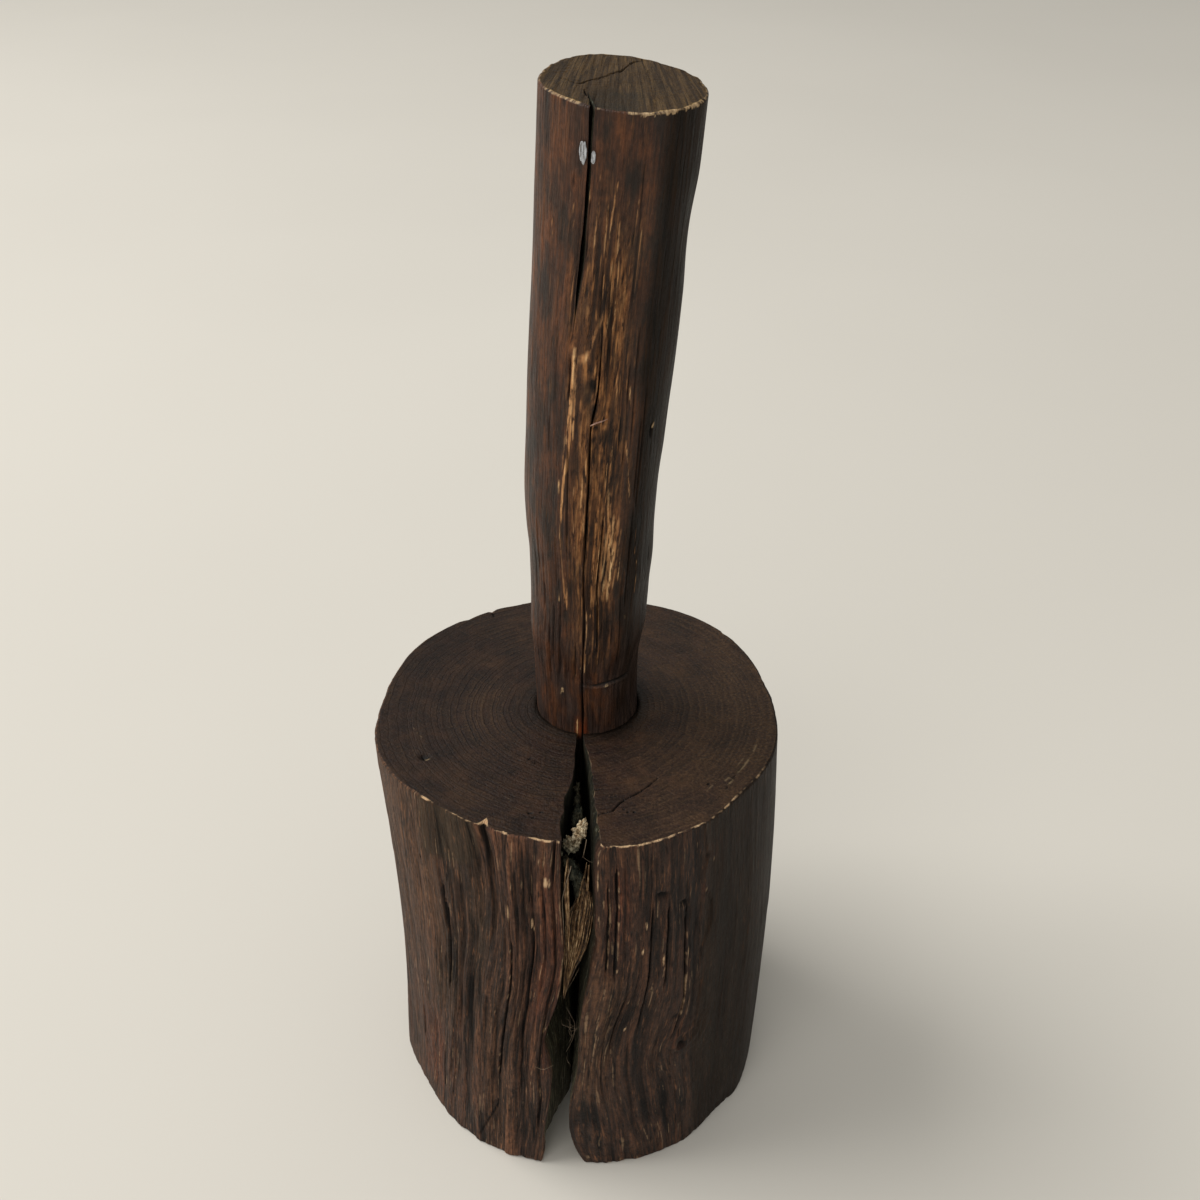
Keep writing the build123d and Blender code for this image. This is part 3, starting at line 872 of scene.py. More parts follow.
def knot_and_nicks(skin):
    line, z, angle = skin.line, skin.z, skin.angle
    # knot: a rippled, slanting swell with a lipped hole
    off, rise = (angle - KNOT_ANGLE) * LOG_ARC, z - KNOT_Z
    off = np.where(np.abs(off) > 180, 99.0, off)
    far = np.hypot(off, rise * 0.95)
    swell = np.hypot((off - 2.0) * 0.75 - 0.35 * (rise - 1.5),
                     (rise - 1.5) * 0.95 + 0.25 * (off - 2.0))
    swell = swell + 0.5 * noise(off / 2.5, rise / 2.5, 97)
    ripple = np.sin(swell * 1.9)
    skin.out += gauss(swell, 7.5) * (0.9 + 0.40 * ripple)
    skin.mark("hollow_shade", 0.55 * gauss(swell, 8) * unit(-ripple - 0.35))
    skin.mark("red", 0.5 * gauss(swell, 8) * unit(ripple))
    hole = unit(1.3 - far / 1.25)
    skin.out += 0.45 * gauss(far - 2.3, 0.7) - 2.2 * hole
    skin.mark("hollow_shade", unit(1.5 * hole) * 0.9)
    skin.mark("hollow_shade", 0.55 * gauss(far - 3.6, 0.5) * unit(0.5 + noise(off / 2, rise / 2, 95)))
    # painted highlight: a pale glint beside the knot's hole
    skin.mark("pale", 0.6 * unit(1.3 - np.hypot(off + 0.5, rise - 0.6) / 0.55))
    for place, height, wide, tall, depth in NICKS:
        nick = unit(1.2 - np.hypot((line - place) * LOG_ARC / wide, (z - height) / tall))
        skin.out -= depth * nick
        skin.mark("hollow_shade", nick)
    # stepped edge of the smooth right flank
    edge = 35.5 + 4.5 * bump(z, 112, 16) + 1.0 * noise(z / 8, 2, 93)
    step = smooth(-0.35, 0.35, (line - edge) * LOG_ARC)
    skin.out += 0.45 * step * fall(60, 90, line) * smooth(60, 80, z)
    skin.mark("satin", skin.right * 0.9)
    gap, _ = path_distance(line * LOG_ARC, z, [(a * LOG_ARC, b) for a, b in SLANT_CRACK])
    crack = unit(1 - gap / 0.55)
    skin.out -= 0.8 * crack
    skin.mark("hollow_shade", crack)
    # scalloped lower right edge
    skin.out += 0.6 * bump(angle, 40, 9) * fall(0, 22, z)
    skin.out -= 0.8 * bump(angle, 53, 7) * fall(0, 14, z)


def log_rims(skin):
    """Worn rounding and nicks of both rims, and the bare wood along them."""
    line, z, arc = skin.line, skin.z, skin.arc
    below = LOG_H - z
    nick = (0.5 * unit(noise(arc / 3.1, 0, 101) * 1.4 - 0.35)
            + 0.7 * unit(noise(arc / 0.9, 0, 103) * 1.5 - 0.4))
    broken = band(line, -66, -50, -4, -2.8)
    notch = bump(line, -24.2, 1.7)
    top = 0.55 + 0.25 * noise(arc / 7, 0, 105) + 0.55 * nick * (0.35 + 0.65 * broken)
    top = top + 1.5 * notch + 1.3 * bump(line, -149.0, 0.9) + 0.6 * bump(line, -141.5, 2.5)
    bottom = (0.8 + 0.35 * noise(arc / 6, 0, 107)
              + 0.8 * unit(noise(arc / 2.6, 0, 109) * 1.6 - 0.5))
    skin.out -= rounding(below, top)
    skin.out -= rounding(z, bottom)
    bare = rim_arcs(line, LOG_RIM, 0.6)
    bare = bare * unit(0.60 + 0.9 * fbm(arc / 1.5, 0, 111, 2) + 0.25 * noise(arc / 7, 0, 112))
    width = 0.12 + 0.09 * noise(arc / 1.7, 0, 113) + 0.20 * notch + 0.10 * bump(line, 19.5, 4)
    skin.mark("pale", 0.9 * bare * fall(width * 0.8, width * 1.9, below))
    # pale flecks near the bottom rim, right of the split
    skin.mark("pale", 0.55 * bump(line, 7.8, 1.5) * fall(0.8, 2.2, np.abs(z - 3.5))
              * unit(.4 + .9 * noise(z, arc / 0.9, 115)))
    skin.mark("pale", 0.5 * fall(0.5, 1.6, z) * bump(line, 14, 6)
              * unit(noise(arc / 1.6, 0, 117) * 2))


def log_skin(lines, levels):
    z, line = np.meshgrid(levels, lines, indexing="ij")
    arc = line * LOG_ARC
    line = np.where(line < 180, line, line - 360)
    skin = Skin(line, z, arc, grain_angle(lines, levels),
                ("hollow_shade", "pale", "tan", "red", "satin", "crest"))
    skin.wander = 1.2 * fbm(arc / 9, z / 34, 21, 2)
    skin.right = band(line, 33, 38, 150, 175)         # smooth, dark flank
    skin.left = band(-line, 41, 46, 140, 172)         # tan, finely fibred flank
    skin.back = smooth(95, 125, np.abs(line))
    for carve in (fibre_relief, cuts_and_scar, split_edge_wear, colour_patches,
                  knot_and_nicks, log_rims):
        carve(skin)
    return skin


# ------------------------------------------------------------------ the log's mesh


def split_wall(outer, levels, mortise_r, at_right):
    """One wall of the split, from the side (column 0) in to the mortise."""
    if at_right:
        inner, opening, sign, seed = (0.7, 1.65), OPENING_R, 1, 400
    else:
        inner, opening, sign, seed = (-0.9, -0.3), OPENING_L, -1, 450
    x_in = PITH[0] + np.interp(levels, [0, LOG_H], inner)
    y_in = FOOT[1] - np.sqrt(np.clip(mortise_r ** 2 - (x_in - FOOT[0]) ** 2, 0, None))
    y = outer[:, 1:2] + (y_in[:, None] - outer[:, 1:2]) * INWARD
    x = x_in[:, None] + (outer[:, :1] - x_in[:, None]) * curve(opening, 1 - INWARD)
    z = np.repeat(levels[:, None], len(INWARD), 1)
    # torn surface: upright fibres and ledges, dying away at both ends of the wall
    fade = band(INWARD, 0, 0.05, 0.75, 0.97)
    tear = (0.55 * fbm(y / 3.4, z / 26, seed, 3) + 0.32 * noise(y / 1.25, z / 15, seed + 9)
            + 0.35 * fbm(y / 6, z / 9, seed + 5, 2))
    x = x + sign * fade * (tear * 0.9 + 0.15) * (0.35 + 0.65 * (1 - INWARD))
    if not at_right:   # the jump in the left edge on the upper sawn face
        jump = smooth(0.46, 0.43, INWARD) * smooth(0.05, 0.2, INWARD)
        x = x - 0.55 * smooth(LOG_H - 16, LOG_H, z) * jump
    wall = np.stack([x, y, z], -1)
    wall[:, 0] = outer
    return wall


def mortise_points(right, left, radius, levels):
    """The round mortise wall, from the right split wall round the tenon to the left one."""
    rows = []
    for first, last, around, z in zip(right[:, -1], left[:, -1], radius, levels):
        start = math.atan2(first[1] - FOOT[1], first[0] - FOOT[0])
        end = math.atan2(last[1] - FOOT[1], last[0] - FOOT[0]) + 2 * math.pi
        rows.append(on_circle(FOOT, around, np.linspace(start, end, MORTISE_COLUMNS), z))
    return np.array(rows)


def build_head(materials):
    levels, lines = log_levels(), log_lines()
    row_count, column_count, steps = len(levels), len(lines), len(INWARD) - 1
    skin = log_skin(lines, levels)
    angle, z = skin.angle, skin.z
    radius = log_radius(angle, z) + skin.out
    turn = np.radians(angle - 90)
    side = np.stack([log_centre_x(z) + radius * np.cos(turn),
                     PITH[1] + radius * np.sin(turn), z], -1)
    mortise_r = 15.75 + (16.65 - 15.75) * levels / LOG_H
    right = split_wall(side[:, 0], levels, mortise_r, True)
    left = split_wall(side[:, -1], levels, mortise_r, False)

    parts = MeshParts()
    side_at = parts.add(side)
    right_at = np.concatenate([side_at[:, :1], parts.add(right[:, 1:])], 1)
    left_at = np.concatenate([side_at[:, -1:], parts.add(left[:, 1:])], 1)
    mortise = parts.add(mortise_points(right, left, mortise_r, levels)[:, 1:-1])
    mortise_at = np.concatenate([right_at[:, -1:], mortise, left_at[:, -1:]], 1)
    parts.put(grid_faces(side_at), SIDE)
    parts.put(grid_faces(right_at, True), WALL)
    parts.put(grid_faces(left_at), WALL)
    parts.put(grid_faces(mortise_at, True), MORTISE)

    # sawn ends, ring by ring from the rim to the mortise
    line_share = (lines - lines[0]) / (lines[-1] - lines[0])
    top_plan = ((0.16, 1), (0.62, 2), (math.inf, 4))
    bottom_plan = ((0.01, 1), (0.3, 4), (math.inf, 8))
    for row, plan in ((row_count - 1, top_plan), (0, bottom_plan)):
        previous, previous_t = side_at[row], line_share
        rim_centre = np.array([log_centre_x(levels[row]), PITH[1]])
        rim_angle = angle[row]
        rim_r = np.hypot(*(side[row, :, :2] - rim_centre).T)
        for k in range(1, steps + 1):
            share = INWARD[k]
            if k == steps:
                ring, t = mortise_at[row], np.linspace(0, 1, MORTISE_COLUMNS)
            else:
                kept = thinned(column_count, share, plan)
                t = line_share[kept]
                centre = rim_centre + (FOOT - rim_centre) * share
                first, last = right[row, k, :2] - centre, left[row, k, :2] - centre
                start = math.degrees(math.atan2(first[1], first[0])) + 90
                end = math.degrees(math.atan2(last[1], last[0])) + 90 + 360
                around = start + ((rim_angle[kept] - rim_angle[0])
                                  / (rim_angle[-1] - rim_angle[0]) * (end - start))
                # the ring's ends bend to meet the split walls
                ring_r = rim_r[kept] * (1 - share) + mortise_r[row] * share
                ring_r = (ring_r + (math.hypot(*first) - ring_r[0]) * gauss(around - start, 5.0)
                          + (math.hypot(*last) - ring_r[-1]) * gauss(around - end, 5.0))
                points = on_circle(centre, ring_r, np.radians(around - 90), levels[row])
                ring = np.concatenate([[right_at[row, k]], parts.add(points[1:-1]),
                                       [left_at[row, k]]])
            parts.put(zipper(previous, ring, previous_t, t, flip=row == 0), SAWN)
            previous, previous_t = ring, t

    # vertex attributes
    values = {name: np.zeros(parts.count) for name in (*skin.mask, "wall")}
    # painted shade: the deeper hollows of the relief are darkened
    shade = np.clip(-skin.out * 0.22 - 0.08, 0, 0.3)
    skin.mask["hollow_shade"] = unit(skin.mask["hollow_shade"] + shade)
    for name in ("pale", "satin"):
        skin.mask[name] = unit(skin.mask[name])
    for name, mask in skin.mask.items():
        values[name][side_at] = mask
    grain = np.zeros((parts.count, 3))
    grain[side_at, 0] = skin.arc
    grain[side_at, 1] = z
    # each torn wall has its own stretch of the grain coordinate
    for wall, wall_at, offset in ((right, right_at, 300), (left, left_at, 500)):
        inner = wall_at[:, 1:]
        grain[inner, 0] = wall[:, 1:, 1] + offset
        grain[inner, 1] = wall[:, 1:, 2]
        values["wall"][inner] = 1
        values["red"][inner] = fall(0.01, 0.09, INWARD[1:])
    # bare wood along the right lip of the split, on the upper sawn end
    lip = np.flatnonzero((INWARD > 0.01) & (INWARD < 0.9))
    bare = np.clip(0.62 + 0.9 * noise(INWARD[lip] * 21, 0, 1771), 0.1, 1)
    values["pale"][right_at[-1, lip]] = 0.46 * bare
    grain[mortise, 0] = 700 + np.arange(MORTISE_COLUMNS - 2) * 1.6
    grain[mortise, 1] = levels[:, None]

    ob = make_object("log_head", np.concatenate(parts.blocks), parts.faces, materials,
                     parts.kinds)
    for name, value in values.items():
        put_attribute(ob.data, name, value)
    put_attribute(ob.data, "grain", grain)
    return ob


# ------------------------------------------------------------------ the log's sawn ends

PIT = np.array([-47.1, -26.9])           # small pit in the upper sawn face, from the pith
# pale scrapes on the upper face: points from the pith, half width, strength
SCRAPES = [
    ([(55.6, -22.5), (51.0, -29.6), (47.2, -34.6)], 0.30, .42),
    ([(52.6, -24.0), (48.4, -31.4), (44.6, -37.4)], 0.28, .38),
    ([(50.2, -31.6), (46.0, -38.2), (42.8, -43.0)], 0.30, .42),
    ([(57.6, -16.0), (55.2, -21.4)], 0.28, .36), ([(41.6, -37.8), (38.6, -41.6)], 0.28, .30),
    ([(-52.6, -12.6), (-48.8, -18.0)], 0.28, .25), ([(-20.4, -44.0), (-19.0, -48.4)], 0.28, .28),
]
# cracks in the upper face: points from the pith, half width, depth
LOG_TOP_CRACKS = [
    ([(5.4, -53.2), (7.7, -51.5), (11.3, -50.1), (13, -47.4), (14.8, -45.1), (18.4, -42.3),
      (21.8, -39), (25.2, -34.8)], 0.42, 0.8),
    ([(5.6, -41.2), (7.0, -40.5), (8.7, -40.2)], 0.30, 0.6),
    ([(-31.5, 50.6), (-32.8, 54.7), (-33.4, 57.0)], 0.45, 0.8),
    ([(-15.1, -26.5), (-12.7, -29.3)], 0.16, 0.2),
    ([(53.4, -25.5), (48.9, -32.7), (45.8, -37.9)], 0.18, 0.25),
    ([(49.5, -32.7), (45.4, -39.7), (42.4, -44.3)], 0.16, 0.2),
    ([(15.6, -50.6), (16.4, -50.2)], 0.55, 0.5), ([(17.4, -50.4), (18.3, -50.1)], 0.5, 0.5),
    ([(14.4, -49.2), (15.2, -49.0)], 0.4, 0.4), ([(40.0, -37.4), (40.9, -36.8)], 0.5, 0.4),
    ([(-13.6, -51.7), (-12.2, -51.5)], 0.45, 0.4), ([(-10.2, -51.2), (-8.9, -51.0)], 0.4, 0.4),
    ([(-12.4, -53.8), (-11.6, -53.6)], 0.4, 0.4),
]


def log_top_lift(x, y):
    """Growth rings, unevenness and the pit."""
    from_pith = np.hypot(x - PITH[0], y - PITH[1]) + 0.9 * fbm(x / 20, y / 20, 901, 2)
    lift = (0.03 * np.sin(2 * np.pi * from_pith / 1.75) + 0.10 * fbm(x / 9, y / 9, 903, 2)
            + 0.06 * noise(x / 1.1, y / 1.1, 905))
    pit = np.hypot(x - PITH[0] - PIT[0], y - PITH[1] - PIT[1])
    return lift - 1.3 * unit(1.3 - pit / 1.5) + 0.25 * gauss(pit - 2.4, 0.7)


def log_bottom_lift(x, y):
    return 0.25 * unit(1 + fbm(x / 12, y / 12, 911, 2)) * smooth(62, 50, np.hypot(x, y))


def dress_log_ends(ob):
    mesh = ob.data
    top = raise_end(ob, LOG_H - 1, math.inf, log_top_lift)
    x, y = (get_points(mesh) / MM - PITH_3D)[:, :2].T
    # painted shade: the pit is darkened
    dark = unit(1.7 - np.hypot(x - PIT[0], y - PIT[1]) / 1.1)
    pale = 0.7 * unit(1.6 - np.hypot(x + 46.4, y + 27.3) / 0.55)      # painted highlight in the pit
    for points, width, strength in SCRAPES:
        gap, _ = path_distance(x, y, points)
        pale = np.maximum(pale, strength * unit(1.3 - gap / width))
    for name, value in (("hollow_shade", dark), ("pale", pale)):
        old = get_floats(mesh, name)
        put_attribute(mesh, name, np.where(top, np.maximum(old, value), old))
    raise_end(ob, -math.inf, 5, log_bottom_lift)
    etch(ob, PITH, reach=1.3, cracks=LOG_TOP_CRACKS)


# ------------------------------------------------------------------ the handle's outline

# axis and radius: z, x and y from the pith, radius; straight below the third row
STICK_AXIS = np.array([
    (0.0, 2.9, 3.0, 15.6), (165.0, 2.62, 2.25, 16.56), (172.0, 2.6, 2.2, 16.8),
    (178.0, 2.78, 1.65, 17.4), (185.0, 3.1, 1.0, 18.15), (201.0, 3.6, -0.6, 18.3),
    (219.0, 3.7, -2.9, 18.6), (235.0, 3.95, -5.0, 19.2), (255.0, 4.9, -7.7, 19.3),
    (275.0, 5.9, -10.4, 19.6), (297.0, 7.1, -13.3, 19.7), (317.0, 8.2, -15.9, 20.1),
    (335.0, 9.4, -18.0, 20.35), (352.0, 10.4, -20.0, 20.4), (362.0, 11.0, -21.2, 20.4)])
# the slanting saw cut at the top: a point in it, and its fall along x and y
CUT_AT = PITH + np.array([9.93, -19.91])
CUT_Z = 351.9
CUT_FALL = (0.091, -0.083)

# cracks, left to right: height, direction from the front
CRACK_A = [(0, -19.5), (150.6, -20.5), (195, -20.6), (230.1, -20.8), (240.6, -21.0),
           (250.6, -22.1), (258.6, -23.0), (288.3, -25.1), (292.6, -23.9), (297.2, -23.1),
           (305.6, -21.7), (313.6, -19.9), (326.6, -19.1), (336.6, -18.9), (344.2, -19.4),
           (356, -19.7)]
CRACK_B = [(0, -3.8), (152.1, -3.8), (158.6, -3.7), (167.6, -4.3), (176.6, -4.4), (189.1, -4.6),
           (201.2, -5.2), (212.6, -6.2), (225.6, -4.8), (234.6, -4.2), (245.6, -4.0),
           (255.6, -4.9), (265.2, -5.1), (271.6, -2.8), (277.6, -1.3), (283.6, -1.1),
           (292.6, -1.3), (298.6, -2.1), (356, -2.4)]
CRACK_D = [(0, 9.0), (150.6, 9.0), (185.1, 8.7), (197.4, 7.7), (209.2, 6.7), (220.6, 8.5),
           (229.6, 9.7), (238.6, 9.9), (356, 10.5)]
LINE_B, LINE_D = 16.4, 29.4              # grain lines of cracks B and D; crack A is line 0
TIP_A = 288.3                            # where crack A starts to gape, up to the sawn end
STICK_ARC = 0.34                         # mm round the handle for each degree
WALL_STEPS = 16                          # steps into crack A

# outline of the sawn end: direction counter-clockwise from +X, radius
END_OUTLINE = [
    (-172, 19.7), (-160, 20.5), (-143, 20.2), (-125, 19.9), (-112, 20.3), (-103, 20.1),
    (-90, 20.4), (-76, 20.3), (-62, 19.6), (-50, 19.4), (-36, 19.5), (-22, 19.9), (-4, 20.4),
    (12, 20.3), (32, 20.5), (55, 20.3), (76, 20.2), (106, 20.4), (131, 19.5), (158, 18.8),
    (175, 19.4)]
# worn streaks of bare wood: half width, strength, then (direction, height) points
STREAKS = [
    (0.38, 1.0, [(-21.8, 287.5), (-21.6, 276), (-21.5, 266.6), (-22.5, 256.1), (-25.2, 247.8),
                 (-26.2, 234.6)]),
    (0.22, 0.9, [(-22.9, 282.4), (-23.2, 270.5), (-24.6, 260.9)]),
    (0.20, 0.8, [(-18.8, 285.4), (-19.2, 273.9), (-19.4, 262.5)]),
    (0.18, 0.75, [(-20.3, 288.6), (-20.1, 278.0)]), (0.16, 0.6, [(-16.4, 284.6), (-16.8, 272.0)]),
    (0.15, 0.6, [(-26.2, 262), (-27.0, 251)]),
    (0.26, 0.55, [(-1.8, 299.3), (-5.2, 295.4), (-8.0, 292.0)]),
    (0.24, 0.6, [(-8.4, 291.6), (-9.9, 288.2), (-12.6, 286.4)]),
    (0.22, 0.6, [(-13.0, 287.0), (-17.0, 286.0), (-19.6, 285.6)]),
    (0.15, 0.5, [(-12.3, 285.2), (-13.1, 277.1)]),
    (0.34, 0.95, [(12.6, 257.6), (12.7, 244.3), (14.5, 234.9)]),
    (0.18, 0.8, [(10.1, 253.1), (10.2, 242.0), (11.2, 233.2)]),
    (0.20, 0.7, [(24.4, 259.8), (28.7, 252.4), (32.9, 240.1)]),
    (0.28, 0.9, [(-7.4, 253.8), (-6.3, 244.7), (-5.9, 231.5)]),
    (0.16, 0.7, [(-9.4, 249), (-9.0, 240)]), (0.15, 0.7, [(23.5, 277.4), (25.4, 272.2)]),
    (0.15, 0.6, [(11.4, 283.4), (12.7, 276.5)]),
    (0.18, 0.7, [(1.8, 313.0), (3.4, 302.4), (1.0, 293.8)]),
    (0.16, 0.6, [(11.9, 305.4), (14.2, 287.8)]), (0.15, 0.6, [(-2.9, 309.9), (-2.7, 299.1)]),
    (0.15, 0.5, [(5.8, 318), (7.0, 304), (5.6, 292)]), (0.14, 0.5, [(16.0, 330), (16.6, 312)]),
    (0.14, 0.45, [(20.5, 322), (21.0, 300)]),
    (0.52, 1.0, [(23.4, 232.5), (20.4, 219.9), (15.8, 207.3)]),
    (0.46, 1.0, [(19.6, 233.6), (16.2, 220.1), (12.0, 206.8)]),
    (0.38, 0.95, [(16.2, 232.2), (12.6, 220.3), (9.2, 207.6)]),
    (0.30, 0.9, [(13.1, 228.7), (9.7, 216.7), (6.6, 203.8)]),
    (0.28, 0.85, [(26.6, 229.4), (24.3, 219.6), (21.3, 209.4)]),
    (0.20, 0.8, [(15.3, 243.8), (17.1, 231.2), (15.4, 221.2)]),
    (0.46, 1.0, [(21.6, 228.0), (19.2, 219.0), (17.4, 212.0)]),
    (0.16, 0.7, [(9.8, 231.0), (6.6, 219.0), (3.8, 204.0)]),
    (0.16, 0.65, [(4.6, 226.0), (2.2, 214.0), (0.8, 199.0)]),
    (0.15, 0.6, [(28.6, 224.0), (26.0, 212.0)]), (0.14, 0.6, [(11.0, 206.0), (9.0, 196.0)]),
    (0.32, 0.9, [(-29.3, 245.2), (-27.5, 230.2), (-26.2, 215.3), (-24.0, 204.2)]),
    (0.15, 0.6, [(-30.8, 233.2), (-30.1, 218.6), (-29.9, 203.3)]),
    (0.20, 0.8, [(-22.8, 213.8), (-22.0, 204.2), (-21.1, 193.5)]),
    (0.15, 0.6, [(-16.2, 244.8), (-15.5, 234.6), (-14.5, 224.6)]),
    (0.16, 0.6, [(-25.9, 311.8), (-25.7, 306.6), (-27.2, 301.4)]),
    (0.13, 0.5, [(-18.0, 336.3), (-17.2, 329.1)]), (0.13, 0.5, [(-10.7, 335.4), (-10.0, 329.5)]),
    (0.16, 0.55, [(-11.5, 329.0), (-11.1, 318.2)]),
    (0.18, 0.6, [(0.6, 334.1), (-1.0, 325.8), (-1.6, 318.4)]),
    (0.14, 0.5, [(-3.9, 328.0), (-4.4, 315.8)]), (0.14, 0.5, [(-28.6, 327.3), (-27.8, 322.0)]),
    (0.12, 0.5, [(-46.9, 321.6), (-45.2, 316.0)]), (0.14, 0.5, [(4.6, 324), (5.2, 312)]),
    (0.18, 0.6, [(-2.6, 200), (-2.4, 188), (-2.2, 176)]),
    (0.14, 0.5, [(8.4, 196), (9.0, 188), (10.4, 180)]), (0.14, 0.5, [(1.6, 192), (2.0, 180)]),
    (0.14, 0.45, [(-33.5, 232), (-33.0, 222)]), (0.14, 0.4, [(42, 232), (43, 220)]),
    (0.14, 0.45, [(46, 216), (47, 204)]), (0.16, 0.55, [(-47.5, 214), (-46.8, 206)]),
    (0.20, 1.0, [(-9.6, 155.2), (-9.9, 152.5), (-10.2, 149)]),
    (0.13, 0.95, [(-3.2, 155.9), (-3.0, 153.4)]),
]
# dark bruises: direction, height, half width, half height, depth
BRUISES = [(-8.5, 277, 2.0, 5.0, 0.55), (-4.0, 271, 0.9, 4.0, 0.5), (8.6, 262.6, 2.2, 3.4, 0.35),
           (-19.5, 209, 1.6, 5.0, 0.3), (-23, 197, 1.2, 4, 0.2), (26, 208, 1.6, 5, 0.2),
           (-2.6, 262, .8, 2.0, 0.5), (12, 336, 2.2, 5, 0.2), (32, 200, 2.4, 6, 0.25)]
# checks above the log: direction, low end, high end, half width, depth
LOW_CHECKS = [(-41, 167, 194, .30, .9), (-28.5, 172, 205, .24, .8), (-35.5, 178, 202, .17, .5),
              (-47, 196, 222, .2, .5), (12, 176, 200, .18, .5), (31, 176, 214, .2, .5),
              (22, 184, 206, .16, .4), (-12, 170, 190, .16, .4)]
# small marks: direction, height, half width, half height, depth (negative stands proud),
# paleness, shade
SMALL_MARKS = [
    (-26.8, 166.6, .62, 1.15, -.25, .95, 0), (-29.4, 165.0, .4, .7, .2, .3, .4),
    # the pale fleck at 51.4 degrees, beside a dark mark, is a painted highlight
    (51.4, 263.6, .35, .9, 0, .95, 0), (49.0, 262.0, .7, 2.4, .5, 0, .8),
    (-1.4, 266.0, .7, 1.4, .5, 0, .8), (-5.6, 279.0, .9, 2.4, .7, 0, .9),
    (37, 196, 1.0, 1.4, .3, .2, .3), (-6.4, 177.6, .2, .8, 0, .5, 0),
    (-10.8, 173.8, .25, .9, 0, .5, 0), (-30, 333, .5, 1.6, .3, .1, .6),
    (15, 320, .3, 2.0, .3, 0, .6), (140, 250, .9, 1.4, .4, .2, .5)]
# bare wood round the sawn rim: start line, end line, strength
STICK_RIM = [(-64, -30, .62), (-19, -14, .5), (2, 12, .75), (12, 56, 1.0), (56, 72, .75),
             (-90, -66, .4), (-185, -88, .42), (74, 185, .42)]
# cracks in the sawn end: points from the cut's centre, half width, depth
STICK_END_CRACKS = [
    ([(-14.0, -1.5), (-12.5, -2.8), (-10.1, -4.9), (-8.0, -2.2), (-6.0, 0.0), (-3.5, 3.0),
      (0.2, 9.0), (3.4, 16.2), (5.6, 18.6)], 0.30, 0.7),
    ([(-8.4, -7.6), (-8.1, -10.4), (-7.6, -12.4)], 0.30, 0.6)]


def cut_z(x, y):
    """Height of the saw cut."""
    return CUT_Z - ((x - CUT_AT[0]) * CUT_FALL[0] + (y - CUT_AT[1]) * CUT_FALL[1])


def axis_at(z):
    """Handle's axis x, y and radius at height z."""
    heights = STICK_AXIS[:, 0]
    x, y, radius = (np.where(z > heights[2], hermite(heights[2:], column[2:], z),
                             np.interp(z, heights, column)) for column in STICK_AXIS.T[1:])
    return PITH[0] + x, PITH[1] + y, radius


def stick_grid():
    """Row heights, and grain lines from crack A's round to itself."""
    levels = np.r_[1.0, 1.5, 2.6, np.linspace(6, 144, 22), np.linspace(147, 166.4, 15),
                   np.linspace(167.3, 172.9, 13), np.linspace(174.3, TIP_A - 1.4, 82), TIP_A,
                   np.linspace(TIP_A + 1.4, 348.6, 42), 349.8, 350.7, 351.3, 351.65, CUT_Z]
    lines = np.r_[0.0, 0.12, np.arange(0.9, 359.2, 0.98), 359.88, 360.0]
    for at in (LINE_B, LINE_D):
        lines[np.argmin(np.abs(lines - at))] = at
        lines = np.sort(np.r_[lines, at - 0.12, at + 0.12])
    return levels, lines


def stick_angles(levels, lines, radius):
    """Direction of every column at every level, with the cracks' openings pushed apart."""
    crack_a, crack_b, crack_d = (curve(crack, levels) for crack in (CRACK_A, CRACK_B, CRACK_D))
    angle = np.array([
        hermite([0, LINE_B, LINE_D, 75, 180, 300, 360],
                [a, b, d, 54.5, 159.5, 279.5, a + 360], lines)
        for a, b, d in zip(crack_a, crack_b, crack_d)])
    # half openings; C is a shallow crack on line A, below its tip
    open_a = (0.65 * smooth(TIP_A, TIP_A + 26, levels) * (0.85 + 0.2 * noise(levels / 9, 0, 601))
              + 0.10 * smooth(344, 352, levels))
    open_c = 0.30 * band(levels, 220, 232, 252, 260.5)
    open_b = ((0.10 + 0.24 * smooth(150, 165, levels)) * band(levels, 136, 150, 282, 299)
              * (0.85 + 0.3 * noise(levels / 8, 0, 603)))
    open_b = open_b + 0.25 * band(levels, 140, 150, 152, 166)
    open_d = 0.20 * band(levels, 183, 190, 230, 239.5)
    for line, half in ((0.0, open_a + open_c), (360.0, open_a + open_c), (LINE_B, open_b),
                       (LINE_D, open_d)):
        off = lines - line
        angle += np.sign(off) * np.degrees((half / radius)[:, None]) * np.exp(-np.abs(off) / 2.2)
    angle[:, 0] += np.degrees(open_a / radius)
    angle[:, -1] -= np.degrees(open_a / radius)
    return angle


def stick_shape(skin):
    """The handle's broad departures from round."""
    line, z = skin.line, skin.z
    outline = np.interp(np.arange(0, 360, 15) - 180.0, *zip(*END_OUTLINE), period=360)
    share = 0.10 + 0.90 * smooth(230, 352, z) ** 1.2
    skin.out += (periodic(outline, skin.angle + 90) - 20.4) * share
    # the foot is whittled down gradually
    skin.out += np.interp(z, [0, 147, 152, 160, 168, 182, 190, 400],
                          [0, 0, -.10, -.04, 0.03, 0.03, 0, 0])
    skin.out -= 1.3 * bump(line, 68, 42) * smooth(214, 196, z) * smooth(150, 160, z)
    skin.out += 0.55 * bump(line, -75, 45) * band(z, 212, 224, 290, 320)
    skin.out += 0.45 * bump(line, 80, 40) * bump(z, 292, 30)
    skin.out -= 0.5 * bump(line, 80, 40) * bump(z, 234, 20)
    skin.out -= 0.6 * bump(line, 84, 40) * bump(z, 316, 18)


